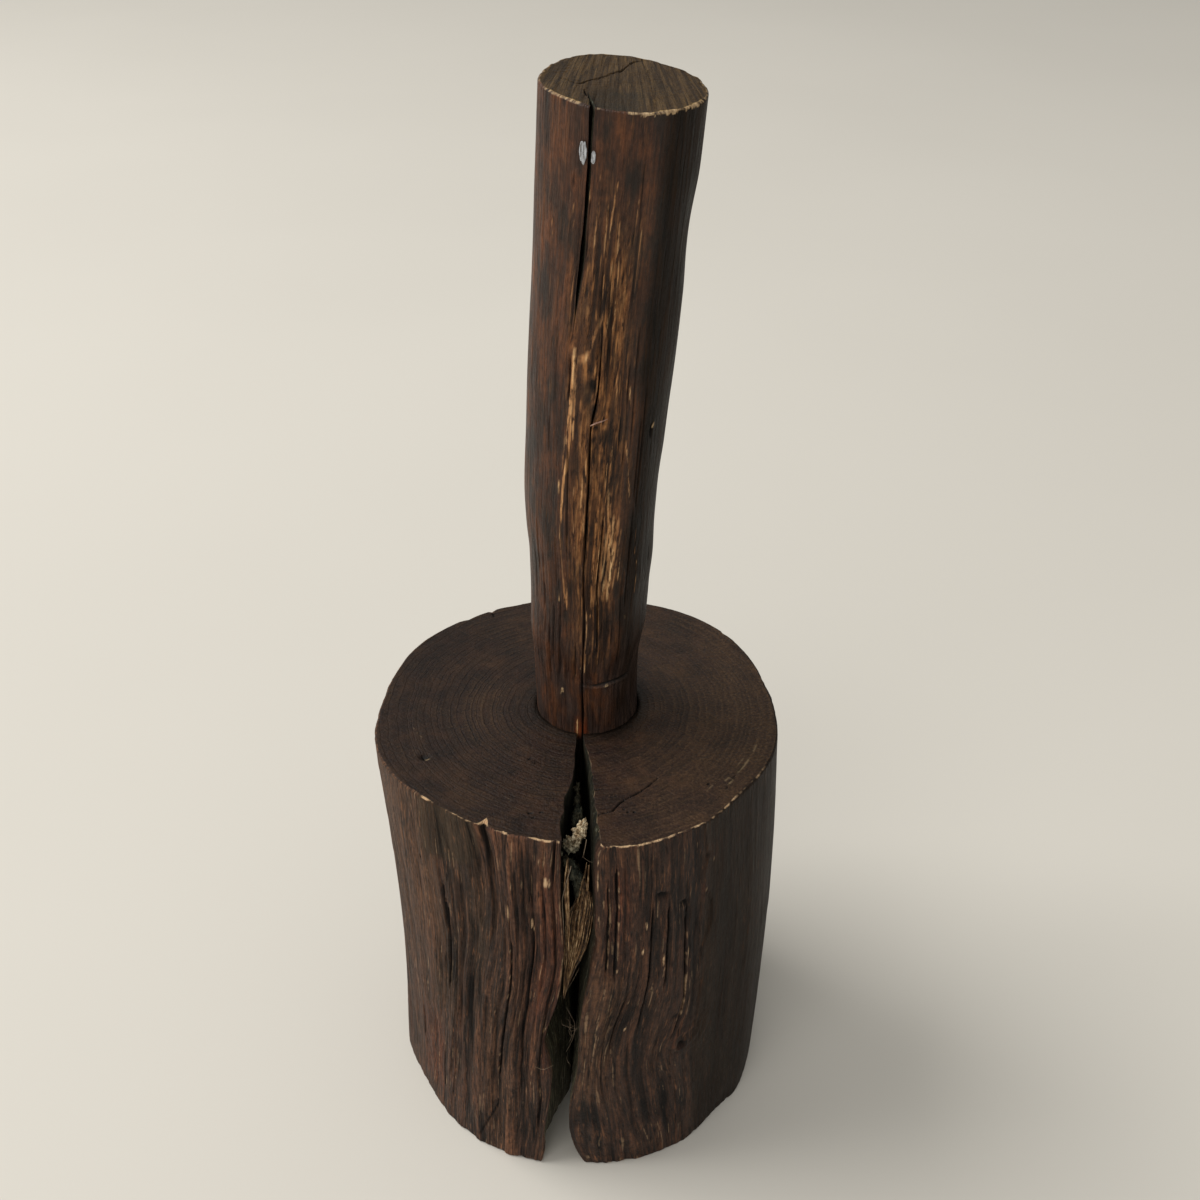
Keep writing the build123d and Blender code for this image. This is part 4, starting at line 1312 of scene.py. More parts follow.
def strands(arc, z):
    """Fibre noises at a place round the handle: wear, swell, gaps, fine relief, terraces."""
    wander = 0.9 * fbm(arc / 5, z / 40, 621, 2)
    wide = noise((arc + wander) / 1.2, z / 45, 651)
    thin = noise((arc + wander) / 0.66, z / 26, 661)
    gap = gauss(wide, 0.24) * unit(0.35 + 0.9 * noise(arc / 4, z / 18, 655))
    return (fbm((arc + wander) / 1.1, z / 30, 631, 3), fbm(arc / 7.5, z / 60, 641, 2), gap,
            0.10 * wide + 0.06 * thin - 0.16 * gap,
            2.6 * fbm((arc + 1.2 * wander) / 4.2, z / 70, 645, 2))


def stick_fibres(skin):
    """Fibre relief, the worn front, and the whittled foot with its shoulder ring."""
    line, z, arc, angle = skin.line, skin.z, skin.arc, skin.angle
    # both ends of the grain coordinate are blended where they meet at the back
    share = 0.5 * smooth(158, 180, np.abs(line))
    here, beyond = strands(arc, z), strands(arc - np.sign(line) * 360 * STICK_ARC, z)
    wear, swell, gap, fine, height = [(1 - share) * a + share * b
                                      for a, b in zip(here, beyond)]
    beside = fall(0, 1, band(line, -9, -4, 54, 64)) if False else 1 - band(line, -9, -4, 54, 64)
    foot = fall(-1.6, 1.4, (z - 170.1 - 2.5 * beside) / (1 + 9 * beside))
    worn = bump(line, 3.0 - 0.05 * (z - 240), 33) * band(z, 168, 190, 300, 336)
    skin.mark("worn", worn)
    skin.out += 0.32 * swell * (1 - 0.6 * foot)
    # slivers lifted off in the worn part leave low ledges
    steps, edges = terraces(height, 0.12, 0.13)
    skin.out += 0.30 * steps * worn + fine * (0.45 + 1.0 * worn)
    skin.mark("crest", unit(0.5 + 3.0 * fine * (0.45 + 0.9 * worn)))
    skin.out -= 0.25 * worn * unit(wear * 2.2)
    # 13 knife facets, and the ring at the foot's shoulder
    facet = 360 / 13
    place = line + 7 * hash01(0, 0, 3) + 3 * noise(z / 30, 0, 671)
    across = np.abs(np.mod(place, facet) / facet - 0.5) * 2
    uneven = 0.10 * noise(line / 9, z / 6, 681) * fall(160, 178, np.abs(line))
    skin.out += foot * (0.26 * across ** 2 - 0.10 + uneven) * smooth(147, 153, z)
    ring_z = np.interp(angle, [-4, 2, 10, 22, 31, 45, 60],
                       [170.5, 170.0, 169.8, 170.3, 170.4, 170.0, 169.5])
    ring = band(line, -4.6, -3.6, 50, 60) * (0.35 + 0.65 * smooth(4, 9, line))
    skin.out += ring * (0.18 * bump(z, ring_z - 1.1, 0.8) - 0.6 * bump(z, ring_z, 0.8))
    skin.mark("hollow_shade", 0.9 * bump(z, ring_z, 0.75) * ring)
    skin.mark("hollow_shade", 0.5 * gap * (0.3 + 0.7 * worn))
    skin.mark("hollow_shade", 0.55 * edges * worn)
    # painted highlight: a pale line under the ring cut
    skin.mark("pale", 0.75 * bump(z, ring_z - 0.95, 0.55) * band(line, 9, 11, 23, 27)
              * unit(0.6 + noise(arc / 0.9, 0, 693)))


def stick_wear(skin):
    """Bare streaks and bruises."""
    z, arc, angle = skin.z, skin.arc, skin.angle
    squeeze = 0.16                       # heights are shortened, so that streaks come out long
    for half, strength, points in STREAKS:
        gap, _ = path_distance(angle * STICK_ARC, z * squeeze,
                               [(a * STICK_ARC, b * squeeze) for a, b in points])
        patchy = unit(0.78 + 0.60 * noise(z / 6.5, points[0][1], 705)
                      + 0.35 * noise(arc / 0.5, z / 9, 707))
        streak = unit(1.35 - gap / half) * patchy
        skin.mark("bright", strength * streak)
        skin.out += 0.10 * streak
    for place, height, wide, tall, depth in BRUISES:
        far = np.hypot((angle - place) * STICK_ARC / wide, (z - height) / tall)
        bruise = unit(1.3 - far - 0.35 * noise(arc / 0.8, z / 2.4, 709))
        skin.out -= depth * bruise
        skin.mark("bruise", bruise)
    skin.mask["bright"] *= 1 - skin.mask["bruise"]


def stick_slots(skin, levels, lines):
    """Cracks B, C and D: the column on the line drops to the bottom of the crack."""
    # the cracks are darkened as painted shade
    hollow_shade, out = skin.mask["hollow_shade"], skin.out
    depth_b = 8.0 * band(levels, 138, 156, 270, 299)
    depth_c = 3.8 * band(levels, 219, 232, 251, 260)
    depth_d = 3.2 * band(levels, 183, 192, 226, 239)
    for line, depth in ((LINE_B, depth_b), (LINE_D, depth_d)):
        j = int(np.argmin(np.abs(lines - line)))
        out[:, j] -= depth
        hollow_shade[:, j] = unit(depth)
        for k in (j - 1, j + 1):
            hollow_shade[:, k] = np.maximum(hollow_shade[:, k], 0.45 * unit(depth))
            out[:, k] -= 0.08 * unit(depth)
    for j, beside in ((0, 1), (-1, -2)):
        out[:, j] -= depth_c
        hollow_shade[:, j] = np.where(levels > TIP_A, 0.35, unit(depth_c))
        hollow_shade[:, beside] = np.maximum(hollow_shade[:, beside], 0.3 * unit(depth_c))


def hairline(skin, off, half, depth, ends, shade):
    """A thin check; off is the distance from its line, ends are the heights of its fades."""
    cut = unit(1 - (np.abs(off) / half) ** 2) * band(skin.z, *ends)
    skin.out -= depth * cut
    skin.mark("hollow_shade", shade * cut)


def stick_checks(skin):
    """Short drying checks and small marks."""
    line, z, angle = skin.line, skin.z, skin.angle
    rng = np.random.default_rng(12)
    for k in range(46):
        place = rng.uniform(-178, 178) if k > 16 else rng.uniform(-40, 45)
        height = rng.uniform(178, 330)
        reach = rng.uniform(5, 26)
        half = rng.uniform(0.10, 0.24)
        depth = rng.uniform(0.25, 0.8)
        off = (line - place) * STICK_ARC - 0.12 * noise(z / 9, 0, 700 + k)
        ends = (height - reach, height - reach * 0.6, height + reach * 0.6, height + reach)
        hairline(skin, off, half, depth, ends, shade=0.8)
    for place, low, high, half, depth in LOW_CHECKS:
        off = (angle - place) * STICK_ARC - 0.15 * noise(z / 9, 0, 860 + int(place))
        hairline(skin, off, half, depth, (low, low + 5, high - 6, high), shade=0.85)
    for place, height, wide, tall, depth, pale, shade in SMALL_MARKS:
        spot = unit(1.25 - np.hypot((angle - place) * STICK_ARC / wide, (z - height) / tall))
        skin.out -= depth * spot
        skin.mark("pale", pale * unit(1.6 * spot))
        skin.mark("hollow_shade", shade * unit(1.5 * spot))


def stick_rims(skin):
    line, z, arc = skin.line, skin.z, skin.arc
    below = CUT_Z - z
    top = 0.45 + 0.3 * noise(arc / 1.6, 0, 711) + 0.35 * bump(line, -30, 14)
    skin.out -= rounding(below, top)
    skin.out -= rounding(z - 1.0, 0.9)
    ragged = (0.12 + 0.55 * unit(noise(arc / 0.46, 0, 713))) * band(line, 0, 14, 70, 80)
    bare = rim_arcs(line, STICK_RIM, 2) * fall(0.10, 0.62, below - ragged)
    skin.mark("pale", bare * unit(0.78 + 0.5 * noise(arc / 0.5, 0, 715)
                                  + 0.3 * noise(arc / 3, 0, 716)))


def crack_walls(side, levels, lift, tip):
    """Points of crack A's right and left walls above its tip: row, step in, wall, xyz."""
    depths = 11.0 * smooth(TIP_A - 1, TIP_A + 24, levels) ** 0.8 - 1.5 * smooth(335, 352, levels)
    rows = np.empty((len(levels) - tip - 1, WALL_STEPS + 1, 2, 3))
    for row in range(len(rows)):
        i = tip + 1 + row
        z = levels[i]
        middle = 0.5 * (side[i, 0] + side[i, -1])
        across = side[i, 0] - side[i, -1]
        inward = np.array([-0.10 - 0.06 * (z > 330), 1.0, 0.0])
        inward /= np.linalg.norm(inward)
        sideways = np.array([inward[1], -inward[0], 0])
        for k in range(WALL_STEPS + 1):
            share = k / WALL_STEPS
            jag = 0.16 * float(fbm(share * 9 + 3, z / 7, 721, 2)) * min(1, 4 * share)
            base = middle + inward * depths[i] * share
            for wall, sign in enumerate((1, -1)):
                point = base + sign * across * 0.5 * (1 - share) ** 0.75 + sideways * jag
                # near the sawn end each point has to lie in the slanting cut itself
                at = point if z > 340 else base
                point[2] = z + lift[i] * (cut_z(at[0], at[1]) - CUT_Z)
                rows[row, k, wall] = point
    return rows


def close_stick_top(parts, side, side_at, lines, centre, deep, right_at, left_at):
    """The sawn end, ring by ring, with crack A running into it."""
    column_count = len(lines)
    rim = side[-1, :, :2] - centre
    rim_r = np.hypot(*rim.T)
    rim_turn = np.unwrap(np.arctan2(rim[:, 1], rim[:, 0]))
    reach = np.hypot(*(deep[-1, -1, 0, :2] - centre)) / np.hypot(*rim[0])
    shares = [k / WALL_STEPS * (1 - reach) for k in range(1, WALL_STEPS + 1)]
    shares += list(np.linspace(shares[-1], 0.93, int((0.93 - shares[-1]) / 0.042) + 1)[1:])
    plan = ((0.50, 1), (0.74, 2), (math.inf, 6))
    previous, previous_t = side_at[-1], lines / 360
    for k, share in enumerate(shares, start=1):
        kept = thinned(column_count, share, plan)
        t = lines[kept] / 360
        radius = rim_r[kept] * (1 - share)
        turn = rim_turn[kept]
        if k <= WALL_STEPS:
            first, last = deep[-1, k, :, :2] - centre
            start = math.atan2(first[1], first[0])
            end = math.atan2(last[1], last[0]) + 2 * math.pi
            start += 2 * math.pi * round((turn[0] - start) / (2 * math.pi))
            end += 2 * math.pi * round((turn[-1] - end) / (2 * math.pi))
        turn = start + (turn - turn[0]) / (turn[-1] - turn[0]) * (end - start)
        if k <= WALL_STEPS:
            # the ring's ends bend to meet the crack's walls
            radius = (radius
                      + (math.hypot(*first) - radius[0]) * gauss(np.degrees(turn - turn[0]), 14)
                      + (math.hypot(*last) - radius[-1]) * gauss(np.degrees(turn[-1] - turn), 14))
        points = on_circle(centre, radius, turn, 0.0)
        points[:, 2] = cut_z(points[:, 0], points[:, 1])
        if k <= WALL_STEPS:
            ring = np.concatenate([[right_at[-1, k]], parts.add(points[1:-1]), [left_at[-1, k]]])
        else:
            ring = parts.add(points[:-1])
            ring = np.r_[ring, ring[0]]
        parts.put(zipper(previous, ring, previous_t, t), SAWN)
        previous, previous_t = ring, t
    middle = parts.add([[*centre, cut_z(*centre)]])[0]
    parts.put([(int(a), int(b), int(middle)) for a, b in zip(previous, previous[1:])], SAWN)


def close_stick_foot(parts, side, side_at, lines, centre, angle):
    """The plain tenon end."""
    rim_r = np.hypot(*(side[0, :, :2] - centre).T)
    previous, previous_t = side_at[0], lines / 360
    for share in (0.03, 0.12, 0.3, 0.55, 0.8):
        kept = thinned(len(lines), share, ((0.1, 3), (math.inf, 8)))
        points = on_circle(centre, rim_r[kept] * (1 - share), np.radians(angle[0, kept] - 90),
                           1.0)
        ring = parts.add(points[:-1])
        ring = np.r_[ring, ring[0]]
        parts.put(zipper(previous, ring, previous_t, lines[kept] / 360, flip=True), SAWN)
        previous, previous_t = ring, lines[kept] / 360
    middle = parts.add([[*centre, 1.0]])[0]
    parts.put([(int(b), int(a), int(middle)) for a, b in zip(previous, previous[1:])], SAWN)


def build_handle(materials):
    levels, lines = stick_grid()
    tip = int(np.argmin(np.abs(levels - TIP_A)))
    above = slice(tip + 1, None)
    axis_x, axis_y, axis_r = axis_at(levels)
    true_angle = stick_angles(levels, lines, axis_r)
    z, line = np.meshgrid(levels, lines, indexing="ij")
    line = np.where(line < 200, line - 20.5, line - 380.5)
    signed = np.where(true_angle > 180, true_angle - 360, true_angle)
    skin = Skin(line, z, line * STICK_ARC, signed,
                ("hollow_shade", "pale", "worn", "glow", "dark", "crest", "bright", "bruise"))
    stick_shape(skin)
    stick_fibres(skin)
    stick_wear(skin)
    stick_slots(skin, levels, lines)
    stick_checks(skin)
    stick_rims(skin)
    # painted shade: the right flank, turned away from the lamp, is marked to be painted near black
    skin.mark("dark", smooth(19, 40, line + 3 * noise(z / 14, 0, 731)) * fall(120, 175, line))
    skin.mark("glow", band(signed, -14.5, -9.5, -1.5, 3.5) * fall(152.6, 158.8, z))
    skin.mask["pale"] = unit(skin.mask["pale"])

    radius = axis_r[:, None] + skin.out
    turn = np.radians(true_angle - 90)
    x = axis_x[:, None] + radius * np.cos(turn)
    y = axis_y[:, None] + radius * np.sin(turn)
    # rows tilt gradually into the slanting cut
    lift = smooth(296, CUT_Z, levels)
    side = np.stack([x, y, z + lift[:, None] * (cut_z(x, y) - CUT_Z)], -1)
    deep = crack_walls(side, levels, lift, tip)

    # the first and last columns are one seam up to crack A's tip, and part above it
    parts = MeshParts()
    side_at = np.empty(z.shape, int)
    side_at[:, :-1] = parts.add(side[:, :-1])
    side_at[:, -1] = side_at[:, 0]
    side_at[above, -1] = parts.add(side[above, -1])
    right_at = np.repeat(side_at[:, :1], WALL_STEPS + 1, 1)
    left_at = np.repeat(side_at[:, -1:], WALL_STEPS + 1, 1)
    right_at[above, 1:-1] = parts.add(deep[:, 1:-1, 0])
    left_at[above, 1:-1] = parts.add(deep[:, 1:-1, 1])
    crack_floor = parts.add(deep[:, -1, 0])
    right_at[above, -1] = crack_floor
    left_at[above, -1] = crack_floor
    parts.put(grid_faces(side_at), SIDE)
    parts.put(grid_faces(right_at[tip:], True), WALL)
    parts.put(grid_faces(left_at[tip:]), WALL)
    close_stick_top(parts, side, side_at, lines, np.array([axis_x[-1], axis_y[-1]]), deep,
                    right_at, left_at)
    close_stick_foot(parts, side, side_at, lines, np.array([axis_x[0], axis_y[0]]), true_angle)

    def place(target, value):
        target[side_at[:, :-1]] = value[:, :-1]
        target[side_at[above, -1]] = value[above, -1]

    # vertex attributes
    points = np.concatenate(parts.blocks)
    values = {name: np.zeros(parts.count) for name in (*skin.mask, "wall")}
    for name, mask in skin.mask.items():
        place(values[name], mask)
    grain = np.zeros((parts.count, 3))
    grain_r = 19.5                       # the grain coordinate lies on a plain cylinder
    for column, value in enumerate((grain_r * np.sin(np.radians(line)), z,
                                    -grain_r * np.cos(np.radians(line)))):
        place(grain[:, column], value)
    wall = np.r_[right_at[above, 1:-1].ravel(), left_at[above, 1:-1].ravel(), crack_floor]
    values["wall"][wall] = 1
    values["hollow_shade"][wall] = 0.8
    grain[wall, :2] = points[wall, 1:]
    ob = make_object("stick_handle", points, parts.faces, materials, parts.kinds)
    for name, value in values.items():
        put_attribute(ob.data, name, value)
    put_attribute(ob.data, "grain", grain)
    return ob


def stick_end_lift(x, y):
    """Fanning grain lines, and a trodden patch at the front."""
    x, y = x - CUT_AT[0], y - CUT_AT[1]
    fan = x / (1 - 0.010 * y)
    lift = (0.22 * fbm(fan / 1.15, y / 18, 921, 3) + 0.10 * fbm(x / 5, y / 5, 923, 2)
            + 0.07 * noise(x / 0.7, y / 0.9, 925))
    groove = gauss(noise(fan / 2.1, y / 40, 927), 0.13)
    patch = band(x, -7.4, -5.8, 3.0, 7.5) * smooth(-5, -17, y)
    return lift - 0.28 * groove - 0.9 * patch


# ------------------------------------------------------------------ materials


def bark_side_material():
    mat = Shader("bark_side")
    grain = mat.attr("grain")
    broad = mat.streaks(grain, wide=7.0, long=70, detail=2)
    mid = mat.streaks(grain, wide=1.5, long=40)
    fine = mat.streaks(grain, wide=0.34, long=11, rough=0.68)
    hair = mat.streaks(grain, wide=0.95, long=12, detail=2, rough=0.55)
    strand = mat.noise(mat.stretch(grain, (0.62, 6.5, 1.0), (31.0, 7.0, 0.0)), detail=2,
                       rough=0.5)
    grit = mat.noise(mat.stretch(grain, (1.1, 2.0, 1.0)), detail=3, rough=0.6)
    crest = mat.attr("crest")
    mat.color = mat.ramp(mid, (0.30, 40, 29, 24), (0.48, 66, 46, 37), (0.64, 88, 60, 45),
                         (0.80, 112, 76, 56))
    mat.tint(broad, (52, 42, 37), over=(0.42, 0.62), by=(0, 0.6))
    mat.tint(crest, (116, 80, 58), over=(0.52, 0.95), by=(0, 0.55))
    mat.tint(crest, (24, 18, 16), over=(0.42, 0.10), by=(0, 0.7))
    mat.tint(fine, (132, 96, 70), over=(0.54, 0.70), by=(0, 0.65))
    mat.tint(fine, (20, 15, 13), over=(0.28, 0.44), by=(0.75, 0))
    # reddish and tan areas
    mat.lay(mat.times(mat.attr("red"), mat.remap(mid, (0.34, 0.62), to=(0.25, 0.85))),
            mat.ramp(fine, (0.35, 60, 32, 23), (0.55, 104, 60, 42), (0.75, 146, 96, 68)))
    mat.lay(mat.times(mat.attr("tan"), mat.remap(mid, (0.30, 0.60), to=(0.40, 1.0))),
            mat.ramp(fine, (0.30, 48, 35, 27), (0.52, 100, 75, 56), (0.74, 140, 110, 84)))
    # smooth, dark areas, where the texture calms down
    satin = mat.attr("satin")
    mat.lay(mat.times(satin, 0.8), mat.ramp(broad, (0.35, 36, 33, 28), (0.65, 58, 51, 43)))
    calm = mat.affine(satin, slope=-0.55, base=1.0)
    tone = mat.times(mat.remap(hair, (0.30, 0.68), to=(0.50, 1.45)),
                     mat.remap(grit, (0.30, 0.70), to=(0.62, 1.38)))
    mat.tone(mat.affine(mat.minus(tone, 1.0), slope=calm, base=1.0))
    # single bright and dark strands
    mat.lay(mat.times(mat.remap(strand, (0.62, 0.72), to=(0, 0.75)),
                      mat.times(calm, mat.remap(broad, (0.38, 0.60), to=(0.25, 1.0)))),
            (150, 108, 80))
    mat.lay(mat.times(mat.remap(strand, (0.31, 0.40), to=(0.9, 0)), calm), (20, 14, 12))
    # brightness round the log: painted light on the left and front-left, towards the lamp,
    # strongest on the satin facet; painted shade on the right and back-right, on top of the right
    # flank's dark stain
    around = mat.split(grain)[0]
    mat.tone(mat.times(mat.remap(around, (200.0, 300.0), to=(1.0, 1.33)),
                       mat.larger(mat.remap(around, (36.0, 52.0), to=(1.0, 0.62)),
                                  mat.remap(around, (140.0, 200.0), to=(0.62, 1.0)))))
    mat.tone(mat.larger(mat.remap(around, (6.0, 26.0), to=(0.98, 0.86)),
                        mat.remap(around, (150.0, 210.0), to=(0.86, 1.0))))
    mat.tone(mat.larger(mat.remap(around, (345.0, 362.0), to=(0.84, 1.0)),
                        mat.remap(around, (280.0, 240.0), to=(0.84, 1.0))))
    mat.tone(mat.affine(mat.times(satin, mat.remap(around, (338.0, 350.0))), slope=0.38,
                        base=1.0))
    # painted shade in the hollows, cracks and gaps
    hollow_shade = mat.attr("hollow_shade")
    mat.tint(hollow_shade, (14, 11, 10), over=(0.10, 0.75), by=(0, 0.95))
    pale = mat.times(mat.attr("pale"), mat.remap(grit, (0.32, 0.52), to=(0.55, 1.0)), clamp=True)
    mat.tint(pale, mat.ramp(fine, (0.35, 190, 160, 128), (0.7, 250, 226, 192)),
             over=(0.12, 0.62), by=(0, 1.0))
    rough = mat.plus(mat.remap(fine, (0.3, 0.7), to=(0.50, 0.70)), mat.times(satin, -0.10))
    rough = mat.plus(rough, mat.times(hollow_shade, 0.25), clamp=True)
    height = mat.plus(mat.times(fine, 0.5), mat.times(mid, 0.6))
    hairs = mat.plus(hair, mat.times(mat.remap(strand, (0.30, 0.45)), 0.35))
    height = mat.plus(height, mat.times(hairs, mat.affine(satin, slope=-0.7, base=1.0)))
    height = mat.plus(height, mat.times(grit, 0.35))
    return mat.finish(rough=rough, spec=mat.affine(satin, slope=-0.18, base=0.26), height=height,
                      strength=0.9, distance=0.0011, gain=(0.80, 0.70, 0.60))


def sawn_top_material():
    mat = Shader("sawn_top")
    point = mat.point()
    x, y, _ = mat.split(mat.vector("ADD", point, (-float(PITH[0]), -float(PITH[1]), 0.0)))
    # wavering distance from the pith, for the growth rings
    from_pith = mat.radius(x, y)
    for size, amount in ((22, 3.4), (5, 1.1)):
        waver = mat.flat_noise(point, size, size, detail=2, rough=0.55)
        from_pith = mat.plus(from_pith, mat.times(mat.minus(waver, 0.5), amount))
    rings = mat.noise(mat.join(mat.times(from_pith, 1 / 2.35)), detail=3, rough=0.7)
    drift = mat.noise(mat.join(mat.times(from_pith, 1 / 10.0)), detail=2, rough=0.6)
    phase = mat.math("FRACT", mat.times(mat.affine(drift, 9.0, from_pith), 1 / 2.2), 0.0)
    late = mat.ramp(phase, (0.0, 0.0), (0.55, 0.10), (0.88, 1.0), (0.97, 0.4), (1.0, 0.0))
    speck = mat.flat_noise(point, 0.85, 0.85, rough=0.65)
    blot = mat.flat_noise(point, 14, 14)
    show = mat.flat_noise(point, 19, 19, shift=(7.0, 3.0, 0.0), detail=2, rough=0.5)

    def saw_marks(degrees, long, wide):
        turned = mat.node("VectorRotate", rotation_type="Z_AXIS")
        turned.inputs["Angle"].default_value = math.radians(degrees)
        mat.link(point, turned.inputs["Vector"])
        return mat.flat_noise(turned.outputs[0], long, wide, detail=2, rough=0.5)

    scratch = saw_marks(38, long=14, wide=0.75)
    cross_scratch = saw_marks(-24, long=10, wide=0.8)
    mat.color = mat.ramp(blot, (0.34, 50, 37, 35), (0.50, 76, 54, 47), (0.66, 102, 74, 56))
    small_blot = mat.flat_noise(point, 3.4, 3.4, shift=(3.0, 8.0, 0.0))
    mat.tone(mat.remap(small_blot, (0.32, 0.68), to=(0.60, 1.40)))
    mat.tint(rings, (98, 76, 58), over=(0.42, 0.62), by=(0.0, 0.40))
    mat.lay(mat.times(late, mat.remap(show, (0.45, 0.64), to=(0.02, 0.22))), (36, 28, 25))
    # pale early wood, clearest in two patches left and right of the handle
    early = mat.ramp(phase, (0.0, 0.0), (0.15, 0.9), (0.40, 0.2), (1.0, 0.0))
    left = mat.times(mat.window(x, (-43.0, -35.0), (-20.0, -28.0)),
                     mat.window(y, (-24.0, -12.0), (20.0, 6.0)))
    right = mat.times(mat.remap(x, (24.0, 36.0)), mat.window(y, (-36.0, -24.0), (26.0, 8.0)))
    clear = mat.larger(mat.times(left, 0.85), mat.times(right, 0.7))
    clear = mat.larger(clear, mat.remap(show, (0.48, 0.62), to=(0.0, 0.5)))
    specked = mat.times(mat.remap(speck, (0.36, 0.60), to=(0.2, 1.0)), clear)
    mat.lay(mat.times(early, specked), (146, 118, 92))
    mat.tint(scratch, (126, 104, 84), over=(0.60, 0.74), by=(0, 0.40))
    mat.tint(cross_scratch, (126, 104, 84), over=(0.62, 0.76), by=(0, 0.34))
    mat.tint(cross_scratch, (34, 27, 24), over=(0.28, 0.38), by=(0.35, 0))
    mat.tint(speck, (136, 108, 88), over=(0.56, 0.72), by=(0, 0.70))
    mat.tint(speck, (28, 22, 20), over=(0.28, 0.44), by=(0.8, 0))
    # olive-brown sector on the right, dark halo round the handle
    sector = mat.times(mat.remap(x, (8.0, 58.0), to=(0, 0.5)),
                       mat.remap(blot, (0.35, 0.6), to=(0.35, 1.0)))
    mat.lay(sector, mat.ramp(speck, (0.35, 62, 48, 36), (0.5, 104, 82, 60),
                             (0.68, 150, 124, 94)))
    from_handle = mat.radius(mat.minus(x, 2.9), mat.minus(y, 3.0))
    mat.tint(from_handle, (34, 32, 27), over=(16.6, 22.5), by=(0.8, 0.0))
    # painted shade, partly stain: the sawn end darkens towards the back, and it is darker on the
    # left than on the right
    mat.tone(mat.remap(y, (-34.0, 34.0), to=(0.62, 0.56)))
    mat.tone(mat.remap(x, (-40.0, 40.0), to=(0.94, 1.46)))
    # painted shade in the cracks and the pit
    mat.tint(mat.attr("hollow_shade"), (18, 15, 13), over=(0.1, 0.8), by=(0, 0.95))
    mat.tint(mat.attr("pale"), (206, 184, 150), over=(0.15, 0.6), by=(0, 1.0))
    height = mat.plus(mat.times(speck, 0.8), mat.times(late, -0.25))
    height = mat.plus(height, mat.times(mat.plus(scratch, cross_scratch), 0.35))
    return mat.finish(rough=mat.remap(speck, (0.3, 0.7), to=(0.42, 0.60)), spec=0.16,
                      height=height, strength=0.8, distance=0.00055,
                      gain=(0.40, 0.365, 0.315))


def torn_wall_material(name, warm, in_log):
    mat = Shader(name)
    grain = mat.attr("grain")
    broad = mat.streaks(grain, wide=3.0, long=26, detail=3)
    fine = mat.streaks(grain, wide=0.7, long=11, rough=0.65)
    mat.color = mat.ramp(fine, (0.30, 16, 16, 13), (0.50, 40, 39, 30), (0.66, 72, 68, 50),
                         (0.82, 124, 116, 88))
    mat.tint(broad, (58, 38, 24), over=(0.52, 0.68), by=(0, 0.35 * warm))
    mat.tint(broad, (22, 25, 19), over=(0.30, 0.44), by=(0.5, 0))
    mat.lay(mat.attr("red"), mat.ramp(fine, (0.32, 30, 21, 17), (0.66, 84, 56, 41)))
    dust = mat.noise(mat.stretch(grain, (0.8, 1.4, 1.0), (2.0, 6.0, 0.0)), detail=3, rough=0.6)
    mat.tint(dust, (150, 152, 136), over=(0.60, 0.74), by=(0, 0.55))
    if in_log:   # dusty towards the foot; painted light brightens it towards the foot, painted shade darkens it near the top
        height = mat.split(grain)[1]
        dusty = mat.ramp(fine, (0.30, 30, 29, 25), (0.55, 60, 58, 50), (0.80, 110, 106, 94))
        mat.tint(height, dusty, over=(8.0, 62.0), by=(0.62, 0.0))
        mat.tone(mat.times(mat.remap(height, (8.0, 80.0), to=(4.6, 1.25)),
                           mat.remap(height, (84.0, 134.0), to=(1.0, 0.45))))
    return mat.finish(rough=0.8, spec=0.15, height=fine, strength=0.7, distance=0.0007)


def rot_material():
    mat = Shader("crumbling_wood")
    point = mat.point(z=400.0)
    crumbs = mat.noise(point, scale=0.8, detail=4, rough=0.65)
    blot = mat.noise(mat.vector("ADD", point, (9.0, 4.0, 2.0)), scale=0.25, detail=2, rough=0.5)
    mat.color = mat.ramp(crumbs, (0.32, 30, 27, 20), (0.50, 66, 60, 46), (0.64, 108, 102, 82),
                         (0.80, 164, 158, 134))
    mat.tint(blot, (40, 50, 46), over=(0.40, 0.62), by=(0, 0.6))
    return mat.finish(rough=0.85, spec=0.15, height=crumbs, strength=0.7, distance=0.0006)


def mortise_material():
    mat = Shader("mortise_wall")
    streak = mat.streaks(mat.attr("grain"), wide=1.0, long=6, detail=3)
    mat.color = mat.ramp(streak, (0.3, 16, 17, 13), (0.7, 44, 40, 29))
    return mat.finish(rough=0.85, spec=0.1, height=streak, strength=0.4, distance=0.0003)


